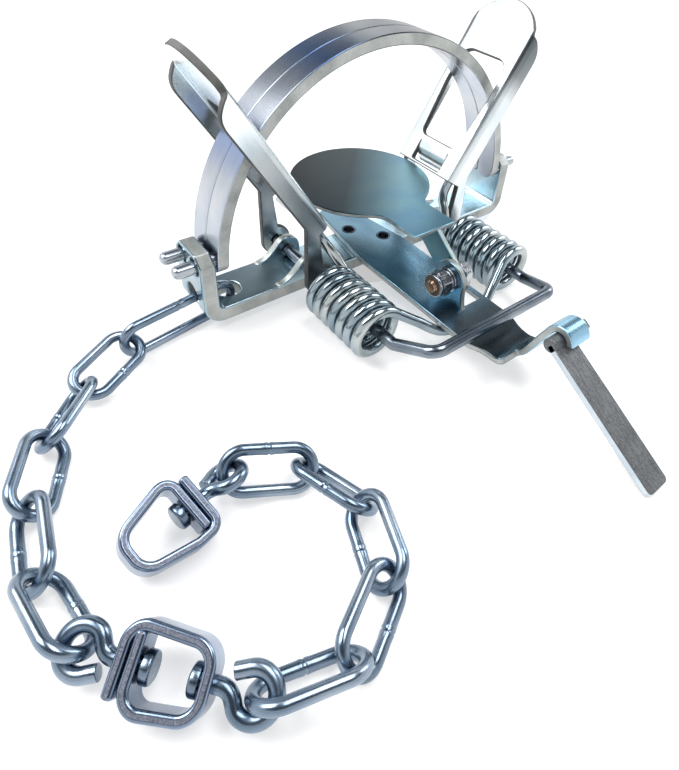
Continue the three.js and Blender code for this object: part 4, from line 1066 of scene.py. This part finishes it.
def link(node, seam_side):
    """A welded link: a round wire bent to a long ring, a little swollen at its weld."""
    centre, long, thin, half_length, half_width = node_axes(node)
    bow, straight = half_width - LINK_WIRE, half_length - half_width
    y = seam_side * bow
    path = [(x, y) for x in np.linspace(0, straight, 16)]
    path += arc(straight, 0, bow, seam_side * 90, -seam_side * 90, 36)[1:]
    path += [(x, -y) for x in np.linspace(straight, -straight, 12)][1:]
    path += arc(-straight, 0, bow, -seam_side * 90, -seam_side * 270, 36)[1:]
    path += [(x, y) for x in np.linspace(-straight, 0, 16)][1:-1]
    path = np.array([(x, y, 0) for x, y in path])
    away = np.abs(path[:, 0])
    at_seam = path[:, 1] * seam_side > bow * 0.9
    weld = WELD_SWELL * np.exp(-(away / 1.3) ** 2) - WELD_GROOVE * np.exp(-(away / 0.28) ** 2)
    shape = wire(path, LINK_WIRE - GAP + np.where(at_seam, weld, 0), 24, closed=True, up=(0, 0, 1))
    return shape.moved(axes_matrix(centre, long, thin))


def button(low, high):
    """A head upset on a wire's end."""
    radius, edge = BUTTON_RADIUS, 0.7
    return lathe([(0.01, high), (radius - edge, high), (radius - 0.2, high - 0.25), (radius, high - edge),
                  (radius, low + 0.3), (radius - 0.3, low), (0.01, low)], 40)


def eye(wall):
    """A hooked eye: the hook's middle is the origin, and the shank runs out along X to its head."""
    hook = np.array([(u, v, 0) for u, v in arc(0, 0, EYE_RADIUS, *EYE_ANGLES, 48)])
    start, end = np.radians(EYE_ANGLES)
    leave = hook[0] + np.array([sin(start), -cos(start), 0]) * EYE_NECK / 4
    shank = bezier((EYE_NECK, 0, 0), (EYE_NECK / 2, 0, 0), leave, hook[0], 14)
    tip = hook[-1] + np.array([-sin(end), cos(end), 0]) * EYE_TIP
    head = EYE_SHANK + wall + EYE_PLAY
    inside = head + BUTTON_LENGTH / 2
    path = np.vstack([[(inside, 0, 0), (head, 0, 0)], shank[:-1], hook, [(hook[-1] + tip) / 2], [tip]])
    return wire(path, EYE_WIRE, 24, up=(0, 0, 1), chamfer=0.2) + button(head, head + BUTTON_LENGTH)


def strip_loop(near_half, near_radius, corners, radii):
    """A strip bent to a loop whose two ends lap on the near side."""
    outer = STRIP_THICK / 2
    inner = outer + STRIP_THICK + STRIP_LAP
    end, line = near_half * 0.72, near_half - STRIP_THICK / 2
    points = [(outer, -end), (outer, line)] + corners + [(inner, -line), (inner, end)]
    points = [(u, v, 0) for u, v in points]
    path = fillet(points, [0, near_radius] + radii + [near_radius, 0], 14, closed=False)
    return strip(path, -STRIP_WIDTH / 2, STRIP_WIDTH / 2, STRIP_THICK, (0, 0, 1), STRIP_EDGE, steps=4)


def box_loop():
    near, bend = BOX_RADII
    far, half = (size - STRIP_THICK / 2 for size in (BOX_LENGTH, BOX_FAR_HALF))
    return strip_loop(BOX_NEAR_HALF, near, [(far, half), (far, -half)], [bend, bend])


def end_loop():
    near, bend = LOOP_RADII
    far, half, tip = (size - STRIP_THICK / 2 for size in (LOOP_LENGTH, LOOP_HALF, LOOP_TIP_HALF))
    corners = [(LOOP_SHOULDER, half), (far, tip), (far, -tip), (LOOP_SHOULDER, -half)]
    return strip_loop(LOOP_HALF, near, corners, [near, bend, bend, near])


def joint(name):
    found = next(j for j in frame["joints"] if j["name"] == name)
    return np.array(found["pos_m"]) / MM, np.array(found["axis"], float)


def add_chain():
    links = ["anchor_ring"] + [f"chain_link_{i}" for i in range(1, 11)]
    for i, node in enumerate(links):
        rigid("welded_" + node, link(node, 1 if i % 2 else -1), node, CHAIN_ZINC)
    box_at, box_x = joint("box_swivel_turn")
    loop_at, loop_x = joint("end_loop_turn")
    lapped = 2 * STRIP_THICK + STRIP_LAP
    eyes = {
        "swivel_eye_a": ("eye_a_hinge", box_x, lapped),
        "swivel_eye_b": ("chain_link_6_hinge", -box_x, STRIP_THICK),
        "swivel_eye_end": ("eye_end_hinge", loop_x, lapped),
    }
    for node, (hinge, x, wall) in eyes.items():
        matrix = axes_matrix(joint(hinge)[0] + EYE_CONTACT * x, x, node_axes(node)[2])
        rigid("bent_" + node, eye(wall).moved(matrix), node, CHAIN_ZINC)
    loops = {"box_swivel": (box_at, box_x, box_loop()), "end_loop": (loop_at, loop_x, end_loop())}
    for node, (at, x, loop) in loops.items():
        matrix = axes_matrix(at, x, node_axes(node)[2])
        rigid("bent_" + node, loop.moved(matrix), node, STRIP_ZINC, SAWN)


def add_springs():
    for name, side in (("left", -1), ("right", 1)):
        shape = wire(spring_path(), SPRING_WIRE).moved(Matrix.Scale(side, 4, (1, 0, 0)))
        obj = piece("coil_" + name, shape, "spring_" + name, SPRING_STEEL)
        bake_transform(obj)


def add_trap():
    rigid("bent_bar", base_bar(), "base_bar", BAR_ZINC, SHEARED)
    rigid("formed_plate", cross_plate(), "cross_plate", CROSS_ZINC, SHEARED)
    for i, (x, y) in enumerate(RIVETS, 1):
        rigid(f"set_rivet_{i}", rivet(x, y), f"rivet_{i}", ROD_ZINC, SHADED)
    for name, side in (("front", -1), ("back", 1)):
        rigid("hoop_" + name, jaw(side), "jaw_" + name, JAW_ZINC, SHEARED)
    for name, side, zinc in (("left", -1, LEVER_ZINC), ("right", 1, RIGHT_LEVER_REFLECTION_ZINC)):
        shape = lever_shape().moved(lever_matrix(side))
        rigid("stamped_" + name, shape, "lever_" + name, zinc, LEVER_EDGE)
    rigid("bent_rod", spring_rod(), "spring_rod", ROD_ZINC)
    rigid("round_pan", pan(), "pan", PAN_ZINC, SHEARED)
    stack = (
        ("threaded_bolt", "pan_bolt", hexagon(*BOLT_HEAD) + thread(*BOLT_THREAD), BOLT_ZINC),
        ("hexagon_nut", "pan_nut", pan_nut(), BRIGHT_ZINC),
        ("thin_washer", "washer_flat", washer(WASHER_BORE, *FLAT_WASHER), BRIGHT_ZINC),
        ("split_washer", "washer_lock", washer(WASHER_BORE, *LOCK_WASHER), BRIGHT_ZINC),
    )
    for name, node, shape, zinc in stack:
        rigid(name, shape.moved(AT_BOLT), node, zinc)
    insert = washer(NYLON_BORE, *NYLON_RING)
    rigid("locking_ring", insert.moved(AT_BOLT), "nut_insert", NYLON)
    pin, _ = joint("dog_hinge")
    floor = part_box("dog")[0][2] / MM + DOG_THICK / 2
    drop = math.asin(min((pin[2] - floor) / DOG_LENGTH, 1))
    matrix = Matrix.Translation(pin) @ Matrix.Rotation(drop, 4, "X") @ Matrix.Scale(-1, 4, (0, 1, 0))
    rigid("flat_dog", dog_shape().moved(matrix), "dog", DOG_ZINC, DOG_SIDE)


# Camera: azimuth, elevation and roll of the view, the point looked at, and the lens in pixels
IMAGE_WIDTH, IMAGE_HEIGHT = 679, 770
AZIMUTH, ELEVATION, ROLL = (math.radians(a) for a in (-42.32, 39.07, 5.6))
LOOK_AT = Vector((-16.59, -32.65, 0))
DISTANCE = 235.18
FOCAL_PIXELS = 582.75
MIDDLE_PIXELS = (379.66, 300.15)


def add_camera():
    a, e, r = AZIMUTH, ELEVATION, ROLL
    back = Vector((sin(a) * cos(e), -cos(a) * cos(e), sin(e)))
    right = Vector((cos(a), sin(a), 0))
    up = back.cross(right)
    x, y = right * cos(r) + up * sin(r), up * cos(r) - right * sin(r)
    data = bpy.data.cameras.new("camera")
    data.sensor_width = 36
    data.lens = FOCAL_PIXELS * data.sensor_width / IMAGE_HEIGHT
    data.shift_x = (IMAGE_WIDTH / 2 - MIDDLE_PIXELS[0]) / IMAGE_HEIGHT
    data.shift_y = (MIDDLE_PIXELS[1] - IMAGE_HEIGHT / 2) / IMAGE_HEIGHT
    data.clip_start = 0.01
    matrix = Matrix((x, y, back)).transposed().to_4x4()
    matrix.translation = (LOOK_AT + back * DISTANCE) * MM
    camera = placed("camera", data)
    camera.matrix_world = matrix
    bpy.context.scene.camera = camera


# Studio
def seen_directly(n):
    """1 for rays of the camera and for what metal and glass show, 0 for rays that light something."""
    rays = n.add("LightPath").outputs
    shown = rays["Is Camera Ray"]
    for kind in ("Is Glossy Ray", "Is Transmission Ray"):
        shown = n.add("Math", {0: shown, 1: rays[kind]}, operation="MAXIMUM").outputs[0]
    return shown


def pale(name, colour, glow):
    """Matt white paper. glow is the white that the camera and the metal see besides the lit paper."""
    n = Nodes(name)
    fine = n.noise(n.add("TexCoord").outputs["Object"], 40, 2)
    shade = n.ramp(fine, [(0.3, colour * 0.985), (0.7, colour)])
    paper = n.add("BsdfDiffuse", {"Color": shade})
    light = n.add("Emission", {"Color": (1, 1, 1, 1), "Strength": glow})
    none = n.add("Emission", {"Strength": 0.0})
    glowing = n.add("MixShader", {0: seen_directly(n), 1: none.outputs[0], 2: light.outputs[0]})
    return n.finish(n.add("AddShader", {0: paper.outputs[0], 1: glowing.outputs[0]}))


def add_floor():
    """A round sheet of paper that curves up to a wall all round."""
    flat, bend, wall, sides = 0.9, 0.3, 0.8, 96
    profile = [(0.02, 0), (flat / 3, 0), (2 * flat / 3, 0)]
    turns = np.linspace(0, pi / 2, 12)
    profile += [(flat + bend * sin(a), bend - bend * cos(a)) for a in turns] + [(flat + bend, wall)]
    height = (GROUND - 0.05) * MM
    rings = [turned(z + height, r, round_angles(sides))[:, (1, 2, 0)] for r, z in profile]
    shape = loft(rings, caps=False)
    mesh = bpy.data.meshes.new("floor")
    mesh.from_pydata(shape.points.tolist(), [], shape.faces + [tuple(range(sides))])
    mesh.polygons.foreach_set("use_smooth", [True] * len(mesh.polygons))
    mesh.materials.append(pale("paper", 0.52, 0.55))
    obj = placed("floor", mesh)


def add_lamp(name, place, size, power, colour=(1, 1, 1)):
    data = bpy.data.lights.new(name, "AREA")
    data.shape, data.size, data.size_y = "RECTANGLE", size[0], size[1]
    data.energy, data.color = power, colour
    lamp = placed(name, data)
    lamp.location = place
    lamp.rotation_mode = "QUATERNION"
    lamp.rotation_quaternion = (Vector((-0.03, -0.05, 0.03)) - Vector(place)).to_track_quat("-Z", "Y")


def add_light():
    add_lamp("key", (-0.55, 0.45, 0.95), (0.7, 0.7), 16)
    add_lamp("top", (0.25, -0.15, 1.15), (0.8, 0.5), 10)
    add_lamp("side", (0.95, -0.15, 0.5), (0.35, 0.6), 4)
    add_lamp("sky", (0.61, 0.63, 0.5), (0.44, 0.3), 0.5, (0.86, 0.95, 1))
    world = bpy.data.worlds.new("world")
    world.use_nodes = True
    background = world.node_tree.nodes["Background"]
    background.inputs["Color"].default_value = (0.70, 0.86, 1.0, 1)
    background.inputs["Strength"].default_value = 0.16
    bpy.context.scene.world = world
    bpy.context.scene.view_settings.view_transform = "Standard"


add_camera()
add_floor()
add_light()
add_trap()
add_springs()
add_chain()
